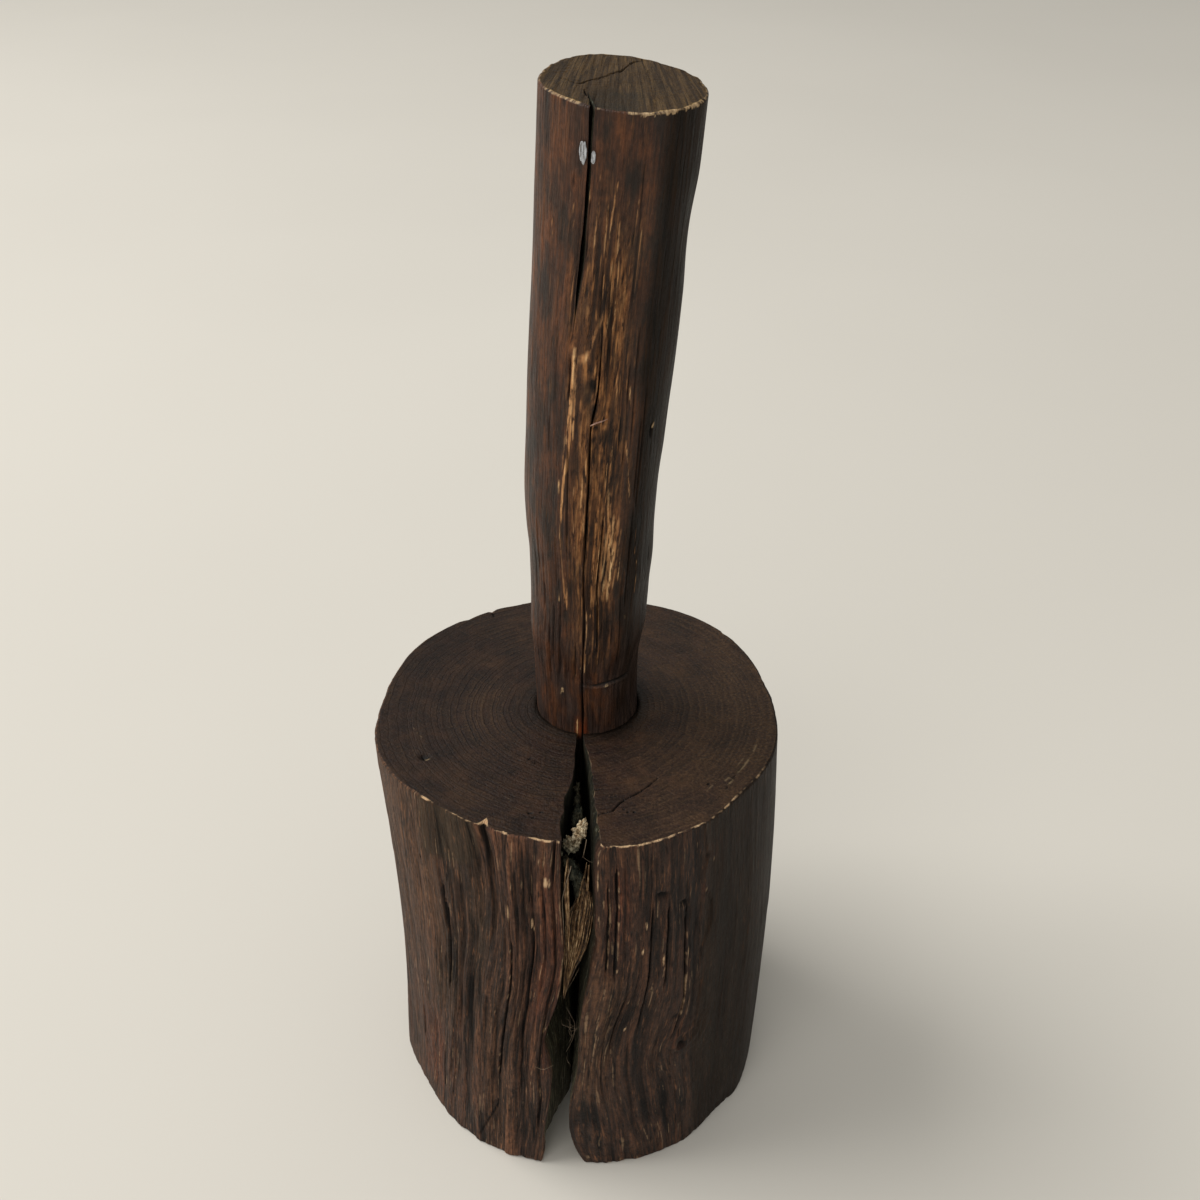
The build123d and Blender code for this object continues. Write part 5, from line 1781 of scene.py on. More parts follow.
def stick_side_material():
    mat = Shader("stick_side")
    grain = mat.attr("grain")
    height = mat.split(grain)[1]
    broad = mat.streaks(grain, wide=4.0, long=34, detail=2)
    mid = mat.streaks(grain, wide=1.1, long=26, rough=0.62)
    fine = mat.streaks(grain, wide=0.30, long=9, rough=0.68)
    hair = mat.streaks(grain, wide=0.90, long=13, detail=2, rough=0.55)
    strand = mat.noise(mat.stretch(grain, (0.60, 8.0, 0.60), (13.0, 5.0, 0.0)), detail=2,
                       rough=0.5)
    fibre = mat.noise(mat.stretch(grain, (0.75, 5.5, 0.75), (3.0, 55.0, 0.0)), detail=3,
                      rough=0.6)
    grit = mat.noise(mat.stretch(grain, (1.0, 1.8, 1.0)), detail=3, rough=0.6)
    mottle = mat.noise(mat.stretch(grain, (5.0, 13.0, 5.0), (5.0, 9.0, 0.0)), detail=3)
    crest = mat.attr("crest")
    worn = mat.attr("worn")
    mat.color = mat.ramp(mid, (0.28, 47, 30, 24), (0.48, 74, 48, 36), (0.66, 95, 62, 42),
                         (0.85, 118, 78, 51))
    mat.tint(broad, (48, 34, 30), over=(0.38, 0.54), by=(0.8, 0.0))
    mat.tint(mottle, (112, 70, 44), over=(0.54, 0.66), by=(0.0, 0.50))
    mat.tint(mottle, (40, 32, 29), over=(0.37, 0.48), by=(0.85, 0.0))
    mat.tint(fine, (34, 21, 17), over=(0.28, 0.46), by=(0.6, 0))
    mat.tint(fine, (132, 88, 62), over=(0.58, 0.74), by=(0, 0.4))
    # varnish worn thin: orange-brown, fibrous, dirty in the hollows
    thin = mat.mix(mat.remap(crest, (0.35, 0.8), to=(0.0, 1.0)),
                   mat.ramp(mid, (0.35, 58, 39, 26), (0.65, 102, 69, 42)),
                   mat.ramp(fibre, (0.34, 95, 64, 41), (0.52, 145, 102, 66),
                            (0.68, 204, 156, 108)))
    mat.lay(mat.times(worn, mat.remap(mid, (0.34, 0.56), to=(0.45, 1.0))), thin)
    contrast = mat.minus(mat.remap(hair, (0.30, 0.68), to=(0.45, 1.50)), 1.0)
    tone = mat.affine(contrast, slope=mat.affine(worn, slope=0.45, base=0.55), base=1.0)
    mat.tone(mat.times(tone, mat.remap(grit, (0.30, 0.70), to=(0.68, 1.32))))
    # single bright and dark strands
    mat.lay(mat.times(mat.remap(strand, (0.60, 0.70), to=(0, 0.7)),
                      mat.affine(worn, slope=0.85, base=0.15)), (190, 138, 90))
    mat.lay(mat.times(mat.remap(fibre, (0.30, 0.42), to=(0.95, 0)),
                      mat.affine(worn, slope=0.65, base=0.35)), (26, 17, 13))
    mat.tint(crest, (26, 17, 13), over=(0.40, 0.12), by=(0, 0.6))
    # nearly black right flank: painted shade on the side away from the lamp
    dark = mat.times(mat.attr("dark"), 0.92)
    mat.lay(dark, mat.ramp(hair, (0.35, 13, 12, 11), (0.65, 34, 29, 25)))
    mat.tint(mat.attr("bruise"), (34, 28, 25), over=(0.1, 0.8), by=(0, 0.8))
    # greyer just above the log, an orange patch where it enters, and painted shade below the log's
    # top: nearly black inside
    grey = mat.times(mat.remap(height, (210.0, 172.0), to=(0, 0.84)),
                     mat.remap(mottle, (0.62, 0.40), to=(0.25, 0.9)))
    mat.lay(grey, mat.ramp(hair, (0.35, 40, 34, 37), (0.62, 76, 64, 64), (0.82, 104, 84, 80)))
    mat.lay(mat.times(mat.times(mat.attr("glow"), 0.8),
                      mat.remap(grit, (0.36, 0.56), to=(0.3, 1.0))), (134, 68, 36))
    mat.tint(height, (18, 18, 14), over=(151.0, 148.0), by=(0, 0.94))
    bright = mat.times(mat.attr("bright"),
                       mat.times(mat.remap(fibre, (0.36, 0.50), to=(0.22, 1.0)),
                                 mat.remap(grit, (0.32, 0.50), to=(0.60, 1.0))), clamp=True)
    mat.tint(bright, mat.ramp(hair, (0.32, 160, 112, 74), (0.50, 208, 160, 116),
                              (0.68, 250, 216, 174)), over=(0.10, 0.62), by=(0, 0.95))
    # painted shade in the hollows and cracks
    hollow_shade = mat.attr("hollow_shade")
    mat.tint(hollow_shade, (12, 9, 8), over=(0.12, 0.75), by=(0, 0.95))
    pale = mat.times(mat.attr("pale"), mat.remap(grit, (0.36, 0.54), to=(0.30, 1.0)), clamp=True)
    mat.tint(pale, mat.ramp(grit, (0.35, 142, 120, 98), (0.7, 214, 194, 168)),
             over=(0.15, 0.55), by=(0, 1))
    rough = mat.plus(mat.remap(hair, (0.3, 0.7), to=(0.36, 0.55)), mat.times(worn, 0.20))
    rough = mat.plus(rough, mat.times(hollow_shade, 0.3), clamp=True)
    relief = mat.plus(mat.times(fine, 0.4), mat.times(mid, 0.5))
    relief = mat.plus(relief, mat.plus(mat.times(hair, 0.8), mat.times(grit, 0.30)))
    relief = mat.plus(relief, mat.times(mat.remap(fibre, (0.30, 0.44)),
                                        mat.affine(worn, slope=0.5, base=0.15)))
    return mat.finish(rough=rough, spec=mat.affine(dark, slope=-0.24, base=0.29), height=relief,
                      strength=0.85, distance=0.0009, gain=(0.88, 0.775, 0.605))


def stick_end_material():
    mat = Shader("stick_end")
    point = mat.point()
    x, y, _ = mat.split(mat.vector("ADD", point, (-float(CUT_AT[0]), -float(CUT_AT[1]), 0.0)))
    # grain lines fan out towards the front
    fan = mat.math("DIVIDE", x, mat.affine(y, slope=-0.010, base=1.0))
    across = mat.join(fan, mat.times(y, 0.06))
    coarse = mat.noise(across, scale=0.75, detail=4, rough=0.65)
    fine = mat.noise(across, scale=2.2, detail=3, rough=0.6)
    speck = mat.noise(point, scale=1.6, detail=4, rough=0.7)
    blot = mat.noise(point, scale=0.12, detail=2)
    mat.color = mat.ramp(coarse, (0.32, 50, 40, 30), (0.48, 82, 66, 48), (0.62, 100, 82, 60),
                         (0.8, 118, 98, 74))
    mat.tint(fine, (38, 29, 23), over=(0.34, 0.46), by=(0.7, 0))
    mat.tone(mat.remap(speck, (0.3, 0.7), to=(0.6, 1.4)))
    # two sets of long dark lines
    long = mat.join(fan, mat.times(y, 0.035))
    lines = mat.noise(long, scale=0.42, detail=2, rough=0.5)
    mat.tint(mat.away(lines, 0.5), (30, 23, 18), over=(0.0, 0.030), by=(0.85, 0.0))
    lines = mat.noise(mat.vector("ADD", long, (11.0, 4.0, 0.0)), scale=0.5, detail=2, rough=0.5)
    mat.tint(mat.away(lines, 0.5), (34, 26, 20), over=(0.0, 0.022), by=(0.7, 0.0))
    # grey, trodden-down patch beside the crack at the front
    patch = mat.times(mat.window(x, (-7.4, -5.6), (7.0, 3.4)),
                      mat.remap(y, (-4.0, -8.0), to=(0, 0.95)))
    mat.lay(mat.times(patch, mat.remap(speck, (0.3, 0.7), to=(1.0, 0.75))), (44, 42, 40))
    mat.tint(speck, (140, 116, 84), over=(0.55, 0.75), by=(0, 0.35))
    mat.tint(blot, (66, 50, 36), over=(0.4, 0.62), by=(0.35, 0))
    # painted shade in the cracks
    mat.tint(mat.attr("hollow_shade"), (20, 15, 12), over=(0.12, 0.8), by=(0, 0.92))
    mat.tint(mat.attr("pale"), (196, 170, 132), over=(0.2, 0.6), by=(0, 1))
    # dark seams along both faces of the wedge, on the tenon's end
    own_x, _, own_z = mat.split(point)
    seam = mat.remap(mat.away(mat.away(own_x, float(FOOT[0])), 2.6), (0.0, 0.35), to=(0.95, 0.0))
    mat.lay(mat.times(seam, mat.remap(own_z, (6.0, 4.0))), (14, 11, 9))
    height = mat.plus(mat.times(coarse, 1.0), mat.times(speck, 0.6))
    return mat.finish(rough=mat.remap(speck, (0.3, 0.7), to=(0.55, 0.75)), spec=0.16,
                      height=height, strength=0.9, distance=0.0007, gain=(0.81, 0.735, 0.55))


def fibre_material(name, dark, mid, light, rough=0.6, scale=1.0):
    mat = Shader(name)
    streak = mat.noise(mat.point(z=250.0), scale=1.3 * scale, detail=4, rough=0.6)
    mat.color = mat.ramp(streak, (0.32, *dark), (0.5, *mid), (0.72, *light))
    return mat.finish(rough=rough, spec=0.35, height=streak, strength=0.4, distance=0.0002)


def crumb_material():
    mat = Shader("pale_wood")
    point = mat.point()
    height = mat.split(point)[2]
    grit = mat.noise(point, scale=0.9, detail=4, rough=0.65)
    mat.color = mat.ramp(grit, (0.38, 40, 42, 34), (0.50, 112, 108, 90), (0.66, 182, 174, 150))
    mat.tint(height, mat.ramp(grit, (0.36, 86, 66, 44), (0.48, 178, 154, 120),
                              (0.62, 244, 230, 200)), over=(140.5, 146.5), by=(0, 1))
    return mat.finish(rough=0.85, spec=0.2, height=grit, strength=0.5, distance=0.0004)


def paint_material():
    mat = Shader("dried_paint")
    grit = mat.noise(mat.point(1800.0, 1800.0, 700.0), scale=0.9, detail=3)
    mat.color = mat.ramp(grit, (0.36, 120, 118, 116), (0.48, 160, 162, 166),
                         (0.65, 196, 198, 202))
    return mat.finish(rough=0.65, spec=0.25, height=grit, strength=0.5, distance=0.0003)


def floor_material():
    mat = Shader("floor_paper")
    blot = mat.noise(mat.node("TexCoord").outputs["Object"], scale=2.2, detail=3, rough=0.5)
    mat.color = rgb(212, 208, 200)
    mat.tint(blot, (206, 202, 194), over=(0.35, 0.65), by=(0, 0.35))
    return mat.finish(rough=0.85, spec=0.2)


# ------------------------------------------------------------------ small loose things


def tube(points, radii, sides=6, flat=1.0, turn=(0, 0), origin=PITH_3D):
    """A tapering fibre through points from the origin; flat squashes it, turn twists it."""
    points = np.asarray(points, float) + origin
    count = max(8, 4 * len(points))
    t = np.linspace(0, 1, count)
    knots = np.linspace(0, 1, len(points))
    path = np.stack([hermite(knots, points[:, k], t) for k in range(3)], -1)
    radius = np.interp(t, np.linspace(0, 1, len(radii)), radii)[:, None, None]
    along = np.gradient(path, axis=0)
    along /= np.linalg.norm(along, axis=1)[:, None] + 1e-9
    front = np.array([0.0, -1.0, 0.15])
    front /= np.linalg.norm(front)
    wide = np.cross(along, front)
    wide /= np.linalg.norm(wide, axis=1)[:, None] + 1e-9
    thin = np.cross(wide, along)
    twist = np.radians(np.interp(t, np.linspace(0, 1, len(turn)), turn))[:, None]
    wide, thin = (wide * np.cos(twist) + thin * np.sin(twist),
                  thin * np.cos(twist) - wide * np.sin(twist))
    around = np.linspace(0, 2 * np.pi, sides, endpoint=False)[None, :, None]
    verts = path[:, None] + radius * (np.cos(around) * wide[:, None]
                                      + flat * np.sin(around) * thin[:, None])
    grid, closed = loop_grid(count, sides)
    return verts.reshape(-1, 3), grid_faces(closed) + [cap(grid[0][::-1]), cap(grid[-1])]


def join(parts):
    """Joins (vertices, faces) pairs into one."""
    verts, faces, offset = [], [], 0
    for part, part_faces in parts:
        verts.append(part)
        faces += [tuple(i + offset for i in face) for face in part_faces]
        offset += len(part)
    return np.concatenate(verts), faces


def lump(centre, size, seed, rough, turn, detail):
    """A crumbly lump of wood; centre is from the pith, turn in degrees about z."""
    row_count = detail // 2
    around, down = np.meshgrid(np.linspace(0, 2 * np.pi, detail, endpoint=False),
                               np.linspace(0.12, np.pi - 0.12, row_count))
    x, y = (np.sign(wave) * np.abs(wave) ** 0.7 * np.sin(down) ** 0.7
            for wave in (np.cos(around), np.sin(around)))
    z = np.cos(down)
    swell = (1 + rough * fbm(3 * x + seed, 2.2 * z + 2 * y, 800 + seed, 3)
             + 0.5 * rough * fbm(8 * x, 3 * z + 7 * y, 830 + seed, 2))
    x, y, z = x * swell * size[0], y * swell * size[1], z * swell * size[2]
    turn = math.radians(turn)
    verts = np.stack([centre[0] + PITH[0] + x * math.cos(turn) - y * math.sin(turn),
                      centre[1] + PITH[1] + x * math.sin(turn) + y * math.cos(turn),
                      centre[2] + z], -1)
    grid, closed = loop_grid(row_count, detail)
    return verts.reshape(-1, 3), grid_faces(closed, True) + [cap(grid[0]), cap(grid[-1][::-1])]


# bundles of torn fibre: path from the pith, spread along it, number of strands
BUNDLES = [
    ([(4.3, -53.2, 132.0), (3.4, -54.4, 123.5), (2.2, -56.0, 113.0), (1.2, -57.2, 102.5),
      (-0.6, -57.8, 93.0), (-2.0, -57.6, 84.0), (-3.0, -57.2, 76.5)],
     [0.5, 1.7, 2.2, 2.0, 1.5, 0.9, 0.3], 20),
    ([(-1.4, -60.4, 141.0), (-1.8, -60.8, 130.0), (-1.5, -61.2, 118.0), (-1.3, -61.4, 106.0),
      (-1.5, -61.0, 95.0)], [0.3, 0.7, 0.8, 0.6, 0.3], 7),
    ([(-4.6, -56.8, 70.5), (-3.4, -55.8, 58.0), (-2.4, -54.8, 45.0), (-2.6, -53.8, 32.0)],
     [0.2, 0.4, 0.4, 0.2], 0),
]
# sheet of torn fibre: z, middle x from the pith, half width, y from the pith
SHEET = np.array([
    (77.0, -3.0, 0.25, -57.0), (81.0, -2.5, 0.6, -57.2), (88.0, -1.6, 1.4, -57.4),
    (95.0, -0.4, 2.4, -57.3), (101.0, 0.9, 3.5, -57.0), (107.0, 1.6, 3.9, -56.6),
    (113.5, 2.3, 3.9, -56.0), (118.5, 3.4, 2.6, -55.4), (122.5, 3.7, 1.3, -55.0),
    (127.0, 3.3, 0.35, -54.6)])
# rows of rotten lumps in the split: both ends from the pith, size at both ends, count
ROT_ROWS = [((0.6, -49.5, 139.5), (0.7, -31.0, 145.0), 1.5, 0.7, 13),
            ((-2.4, -57.0, 137.5), (2.6, -56.4, 129.0), 1.2, 1.0, 9),
            ((0.4, -53.5, 128.0), (1.6, -54.5, 120.0), 1.3, 1.1, 7)]
# single hairs: points from the pith, radius
HAIRS = [
    ([(3.9, -56.5, 145.0), (3.4, -57.0, 141.6), (2.8, -57.0, 138.2)], 0.13),
    ([(3.0, -57.5, 138.8), (4.6, -58.0, 137.8), (6.3, -58.4, 137.2)], 0.06),
    ([(-0.5, -61.0, 138.6), (-2.2, -61.6, 131.0), (-3.2, -61.6, 124.0), (-2.9, -61.4, 115.0),
      (-2.7, -61.0, 105.6)], 0.17),
    ([(-2.1, -57, 71.6), (-0.6, -58, 68.6), (0.5, -58, 64.6), (0.3, -58, 60.0),
      (-0.6, -58, 56.0), (-2.4, -57.6, 50.5)], 0.055),
    ([(1.9, -59, 92.6), (0.0, -59, 87.2), (-2.3, -59, 81.6)], 0.06),
    ([(-12.0, -66.2, 53.5), (-9.2, -65.4, 51.4), (-6.3, -64.2, 52.0)], 0.06),
]


def sheet_at(z):
    """The sheet's middle x, half width and y."""
    return [hermite(SHEET[:, 0], column, z) for column in SHEET.T[1:]]


def torn_sheet():
    """The wide, twisted sheet behind the strands, as two skins joined at their borders."""
    z = np.linspace(77.0, 127.0, 120)[:, None]
    across = np.linspace(-1, 1, 46)[None]
    middle, half, depth = sheet_at(z)
    bulge = (0.9 * np.sin(across * 2.6 + z / 11) + 0.45 * fbm(across * 5, z / 22, 961, 3)
             + 0.30 * noise(across * 14, z / 15, 963))
    x = middle + half * across * (1 + 0.16 * fbm(np.sign(across), z / 5, 965, 2))
    y = depth + bulge * np.minimum(half / 2.5, 1)
    skins = [np.stack([x, y + back, z + 0 * across], -1) + PITH_3D for back in (0, 0.28)]
    grid = np.arange(x.size).reshape(x.shape)
    faces = grid_faces(grid) + grid_faces(grid + grid.size, True)
    for border, flip in ((grid[0], True), (grid[-1], False), (grid[:, 0], False),
                         (grid[:, -1], True)):
        faces += grid_faces(np.stack([border, border + grid.size]), flip)
    return np.concatenate([skin.reshape(-1, 3) for skin in skins]), faces


def bundle_strand(rng, path, spread):
    off = rng.uniform(-1, 1)
    off_y = rng.uniform(-0.5, 0.5)
    start, end = sorted(rng.uniform(0, 1, 2))
    if end - start < 0.45:
        start, end = max(0, start - 0.25), min(1, end + 0.3)
    t = np.linspace(start, end, 7)
    x, y, z = (np.interp(t, np.linspace(0, 1, len(path)), column) for column in path.T)
    spread = np.interp(t, np.linspace(0, 1, len(spread)), spread)
    points = np.stack([x + spread * off + 0.35 * np.sin(3 * t + 5 * off),
                       y + spread * off_y + 0.5 * np.cos(6 * t + 4 * off), z], -1)
    wide = rng.uniform(0.14, 0.52)
    return tube(points, [0.3 * wide, wide, wide, 0.8 * wide, 0.15 * wide], flat=0.35,
                turn=[0, rng.uniform(-140, 140)])


def sheet_strand(rng, k):
    across = rng.uniform(-0.95, 0.95)
    start, end = sorted(rng.uniform(0, 1, 2))
    end = min(1, max(end, start + 0.25))
    start = min(start, end - 0.2)
    t = np.linspace(start, end, 7)
    z = 127 - 50 * t
    middle, half, depth = sheet_at(z)
    x = middle + half * (across + 0.12 * np.sin(4 * t + k))
    y = depth + 0.9 * np.sin(across * 2.6 + z / 11) - 0.35 - 0.25 * rng.uniform()
    wide = rng.uniform(0.08, 0.24)
    return tube(np.stack([x, y, z], -1), [0.4 * wide, wide, wide, 0.8 * wide, 0.2 * wide],
                flat=0.5, turn=[0, rng.uniform(-120, 120)])


def rotten_lumps():
    """Dark, crumbling wood in the mouth and the depth of the split."""
    rng = np.random.default_rng(71)
    parts = []
    for start, end, first_size, last_size, count in ROT_ROWS:
        for k in range(count):
            t = (k + rng.uniform(0.1, 0.9)) / count
            size = first_size + (last_size - first_size) * t
            x, y, z = (a + (b - a) * t for a, b in zip(start, end))
            centre = (x + rng.normal(0, 0.35) * size, y + rng.normal(0, 0.6),
                      z + rng.normal(0, 1.0))
            sizes = (size * rng.uniform(0.5, 1.0), size * rng.uniform(0.6, 1.3),
                     size * rng.uniform(0.9, 2.4))
            parts.append(lump(centre, sizes, seed=200 + k + 40 * count, rough=0.75,
                              turn=rng.uniform(-35, 35), detail=22))
    return parts


def build_torn_fibres(rng):
    parts = [bundle_strand(rng, np.array(path), spread)
             for path, spread, count in BUNDLES for _ in range(count)]
    kinds = [0] * len(parts) + [1]
    parts.append(torn_sheet())
    parts += [sheet_strand(rng, k) for k in range(34)]
    kinds += [0] * 34
    rot = rotten_lumps()
    kinds += [2] * len(rot)
    parts += rot
    materials = [
        fibre_material("torn_fibre", (56, 38, 25), (126, 94, 61), (220, 186, 140), rough=0.5),
        fibre_material("torn_sheet", (13, 10, 7), (44, 31, 19), (128, 95, 60), rough=0.55,
                       scale=2.2),
        rot_material()]
    face_kinds = np.repeat(kinds, [len(faces) for _, faces in parts])
    return make_object("torn_fibres", *join(parts), materials, face_kinds)


def build_crumb(rng):
    """Pale crumbs lodged in the split's mouth, with flakes and splinters on them."""
    parts = [
        lump((-1.0, -55.2, 141.2), (1.7, 1.6, 2.3), seed=3, rough=0.7, turn=12, detail=40),
        lump((0.9, -54.6, 143.6), (1.1, 1.5, 2.2), seed=5, rough=0.8, turn=-10, detail=36),
        lump((2.6, -54.0, 146.6), (0.9, 1.3, 1.9), seed=8, rough=0.8, turn=30, detail=34)]
    for k in range(44):
        t = rng.uniform(0, 1) ** 0.9
        centre = (-2.6 + 6.0 * t + rng.normal(0, 0.55), -55.9 + 1.7 * t + rng.normal(0, 0.5),
                  139.4 + 10.4 * t + rng.normal(0, 0.9))
        long = rng.uniform(0.5, 1.4)
        thin = rng.uniform(0.08, 0.20)
        tall = rng.uniform(0.45, 1.4)
        size = (long, thin, tall) if k % 2 else (thin, long, tall)
        parts.append(lump(centre, size, seed=20 + k, rough=0.6, turn=rng.uniform(-50, 50),
                          detail=12))
    for _ in range(16):
        t = rng.uniform(0.2, 1.0)
        start = np.array([-2.2 + 6.0 * t + rng.normal(0, 0.4), -56.2 + 1.6 * t, 139.8 + 9.6 * t])
        length = rng.uniform(1.2, 3.0)
        reach = rng.normal(0, 1, 3) * (0.5, 0.4, 1.0)
        reach = reach / np.linalg.norm(reach) * length
        middle = start + 0.5 * reach + rng.normal(0, .15, 3)
        parts.append(tube([start, middle, start + reach], [0.08, 0.15, 0.04], flat=0.5))
    return make_object("lodged_crumb", *join(parts), [crumb_material()])


def build_hairs(rng):
    parts = [tube(points, [radius, radius, 0.6 * radius], sides=5) for points, radius in HAIRS]
    for _ in range(13):
        start = np.array([rng.uniform(-2.2, 1.2), rng.uniform(-60, -57.5), rng.uniform(45, 64)])
        turn = rng.uniform(0.85, 2.30)
        length = rng.uniform(3.5, 8.5)
        along = np.array([math.cos(turn), rng.uniform(-.4, .4), math.sin(turn)]) * length
        bow = np.array([-math.sin(turn), rng.uniform(-.4, .4), math.cos(turn)]) * length
        bow = bow * rng.uniform(-.42, .42)
        points = [start, start + 0.28 * along + 0.75 * bow, start + 0.66 * along + bow,
                  start + along]
        parts.append(tube(points, [0.035, 0.045, 0.04, 0.02], sides=5))
    material = fibre_material("hair_fibre", (92, 78, 62), (128, 110, 90), (178, 158, 136),
                              scale=0.6)
    return make_object("loose_hairs", *join(parts), [material])


def on_stick(degrees, z, out=0.0):
    """A point out from the handle's round surface."""
    x, y, radius = (float(value) for value in axis_at(z))
    turn = math.radians(degrees - 90)
    return np.array([x + (radius + out) * math.cos(turn), y + (radius + out) * math.sin(turn), z])


def dab(degrees, z, half, tall, seed):
    """A thin blob of paint lying on the handle."""
    sides, row_count = 40, 9
    points = []
    for k in range(row_count):
        share = k / (row_count - 1)
        for q in range(sides):
            turn = 2 * math.pi * q / sides
            swell = 1 + 0.16 * float(noise(math.cos(turn) * 1.6 + seed, math.sin(turn) * 1.6, 971))
            off = share * half * swell * math.cos(turn)
            rise = share * tall * swell * math.sin(turn)
            thick = (0.30 * (1 - share ** 4) ** 0.5
                     + 0.09 * float(noise(off * 3.5, rise * 1.2, 973)) - 0.10)
            points.append(on_stick(degrees + math.degrees(off / 20.2), z + rise, thick + 0.22))
    _, closed = loop_grid(row_count, sides)
    peak = len(points)
    points += [on_stick(degrees, z, 0.46), on_stick(degrees, z, -0.4)]
    faces = grid_faces(closed[1:], True)
    faces += [(int(closed[1, q]), peak, int(closed[1, q + 1])) for q in range(sides)]
    faces += [(int(closed[-1, q + 1]), peak + 1, int(closed[-1, q])) for q in range(sides)]
    return np.array(points), faces


def build_paint():
    """Dried paint across the handle's widest crack."""
    parts = [dab(-24.4, 340.7, half=0.62, tall=2.3, seed=1),
             dab(-22.6, 340.1, half=0.62, tall=2.6, seed=7),
             dab(-16.2, 339.4, half=0.5, tall=1.5, seed=4)]
    return make_object("paint_dab", *join(parts), [paint_material()])


def build_splinter():
    """The splinter across crack B."""
    points = [on_stick(-5.6, 266.6, 0.35), on_stick(-1.0, 267.8, 0.75),
              on_stick(3.0, 268.3, 0.7), on_stick(7.4, 268.9, 0.3)]
    verts, faces = tube(points, [0.16, 0.24, 0.18, 0.05], origin=0.0)
    material = fibre_material("splinter_wood", (120, 88, 74), (168, 132, 116), (206, 176, 160))
    return make_object("splinter", verts, faces, [material])


def build_wedge():
    """The wedge in the tenon's end, thinning upwards, with chamfered upright edges."""
    row_count = 24
    points = []
    for i, z in enumerate(np.linspace(0.7, 43.0, row_count)):
        thick = np.interp(z, [1, 43], [2.5, 0.4])
        broad = np.interp(z, [1, 43], [13.5, 12.75])
        edge = 0.3 if 0 < i < row_count - 1 else 0.5
        inset = min(edge, thick * .9)
        outline = [(-thick, -broad + edge), (-thick, broad - edge), (-thick + inset, broad),
                   (thick - inset, broad), (thick, broad - edge), (thick, -broad + edge),
                   (thick - inset, -broad), (-thick + inset, -broad)]
        for (x0, y0), (x1, y1) in zip(outline, outline[1:] + outline[:1]):
            long_side = abs(y1 - y0) > 5
            count = 14 if long_side else 2
            for q in range(count):
                x = x0 + (x1 - x0) * q / count
                y = y0 + (y1 - y0) * q / count
                if long_side:
                    x -= math.copysign(0.05 + 0.05 * float(noise(y / 1.7, z / 9, 951)), x)
                points.append((FOOT[0] + x, FOOT[1] + y, z))
    grid, closed = loop_grid(row_count, len(points) // row_count)
    faces = grid_faces(closed, True) + [cap(grid[0]), cap(grid[-1][::-1])]
    material = fibre_material("wedge_wood", (92, 70, 48), (136, 108, 76), (170, 142, 104),
                              rough=0.75, scale=0.8)
    return make_object("wedge", points, faces, [material], shade_smooth=False)


# ------------------------------------------------------------------ build everything
head = build_head([bark_side_material(), sawn_top_material(),
                   torn_wall_material("torn_wall", warm=1.0, in_log=True), mortise_material()])
dress_log_ends(head)
handle = build_handle([stick_side_material(), stick_end_material(),
                       torn_wall_material("stick_crack", warm=1.4, in_log=False)])
raise_end(handle, 340, math.inf, stick_end_lift)
etch(handle, CUT_AT, reach=1.0, cracks=STICK_END_CRACKS)

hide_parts("head")
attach(head, "root")
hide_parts("handle")
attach(handle, "root")

loose_rng = np.random.default_rng(5)     # shared by the next three pieces, in this order
torn = build_torn_fibres(loose_rng)
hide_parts("torn_slivers")
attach(torn, "root")
crumb = build_crumb(loose_rng)
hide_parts("lodged_chip")
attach(crumb, "root")
hairs = build_hairs(loose_rng)
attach(hairs, "root")
paint = build_paint()
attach(paint, "root")
splinter = build_splinter()
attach(splinter, "root")
wedge = build_wedge()
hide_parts("tenon_wedge")
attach(wedge, "root")

# ------------------------------------------------------------------ floor, light, camera
# places and sizes here are in metres
bpy.ops.mesh.primitive_plane_add(size=24, location=(0, 4, 0))
floor = bpy.context.object
floor.name = "floor"
floor.data.materials.append(floor_material())


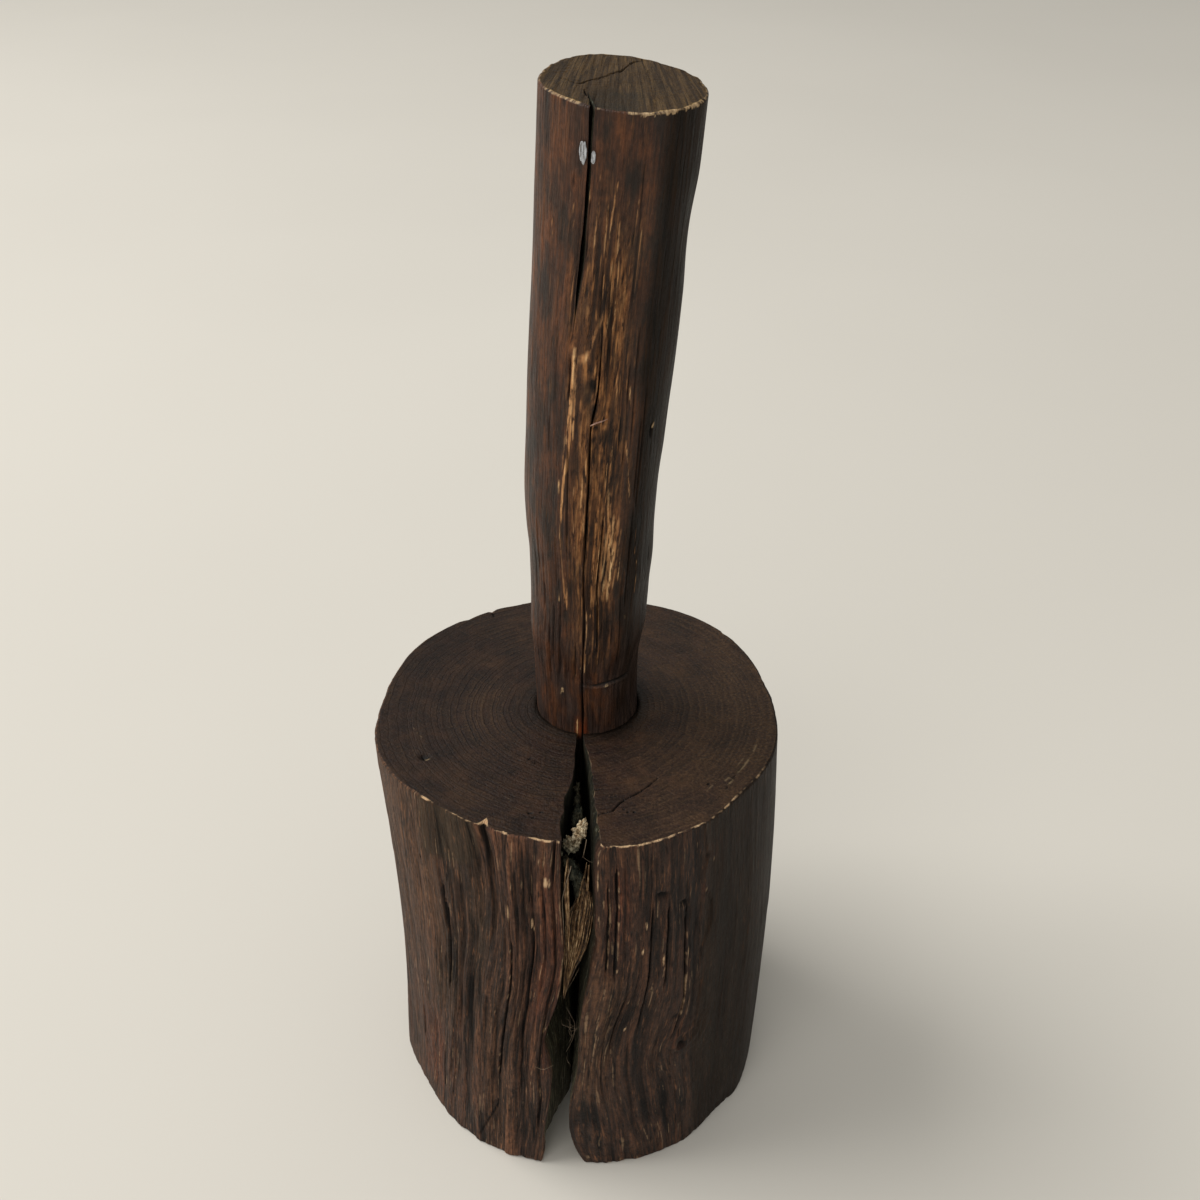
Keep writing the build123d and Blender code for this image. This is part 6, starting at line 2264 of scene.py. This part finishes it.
def area_light(name, place, target, size, power, color):
    light = bpy.data.lights.new(name, "AREA")
    light.shape = "RECTANGLE"
    light.size, light.size_y = size
    light.energy = power
    light.color = color
    ob = bpy.data.objects.new(name, light)
    bpy.context.scene.collection.objects.link(ob)
    ob.location = place
    aim = Vector(target) - Vector(place)
    ob.rotation_euler = aim.to_track_quat("-Z", "Y").to_euler()


def set_world(color, strength):
    world = bpy.context.scene.world or bpy.data.worlds.new("world")
    bpy.context.scene.world = world
    world.use_nodes = True
    nodes = world.node_tree.nodes
    background = nodes.get("Background") or nodes.new("ShaderNodeBackground")
    background.inputs[0].default_value = color
    background.inputs[1].default_value = strength


def add_camera(place, forward, yaw, roll, lens):
    """place is in mm from the pith; yaw and roll are in degrees, lens in mm."""
    data = bpy.data.cameras.new("camera")
    camera = bpy.data.objects.new("camera", data)
    bpy.context.scene.collection.objects.link(camera)
    data.sensor_width = 36.0
    data.lens = lens
    data.clip_start = 0.02
    data.clip_end = 60
    at = Vector([(a + b) * MM for a, b in zip(place, PITH_3D)])
    forward = Vector(forward).normalized()
    yaw, roll = math.radians(yaw), math.radians(roll)
    level = Vector((math.cos(yaw), -math.sin(yaw), 0))
    right = (math.cos(roll) * level + math.sin(roll) * level.cross(forward)).normalized()
    up = right.cross(forward).normalized()
    rows = [(right[k], up[k], -forward[k], at[k]) for k in range(3)]
    camera.matrix_world = Matrix((*rows, (0, 0, 0, 1)))
    bpy.context.scene.camera = camera


area_light("window", place=(-2.1, 0.4, 2.7), target=(0, 0, 0.1), size=(2.2, 1.9), power=88,
           color=(1.0, 0.985, 0.95))
area_light("fill", place=(-0.9, -1.8, 1.5), target=(0, 0, 0.2), size=(1.6, 1.2), power=14,
           color=(1.0, 0.98, 0.95))
set_world(color=(0.89, 0.88, 0.84, 1), strength=0.52)
add_camera(place=(9.562, -361.467, 432.081), forward=(-0.007145, 0.833444, -0.552558),
           yaw=-0.491, roll=0.7366, lens=41.97)
bpy.context.scene.view_settings.view_transform = "Standard"
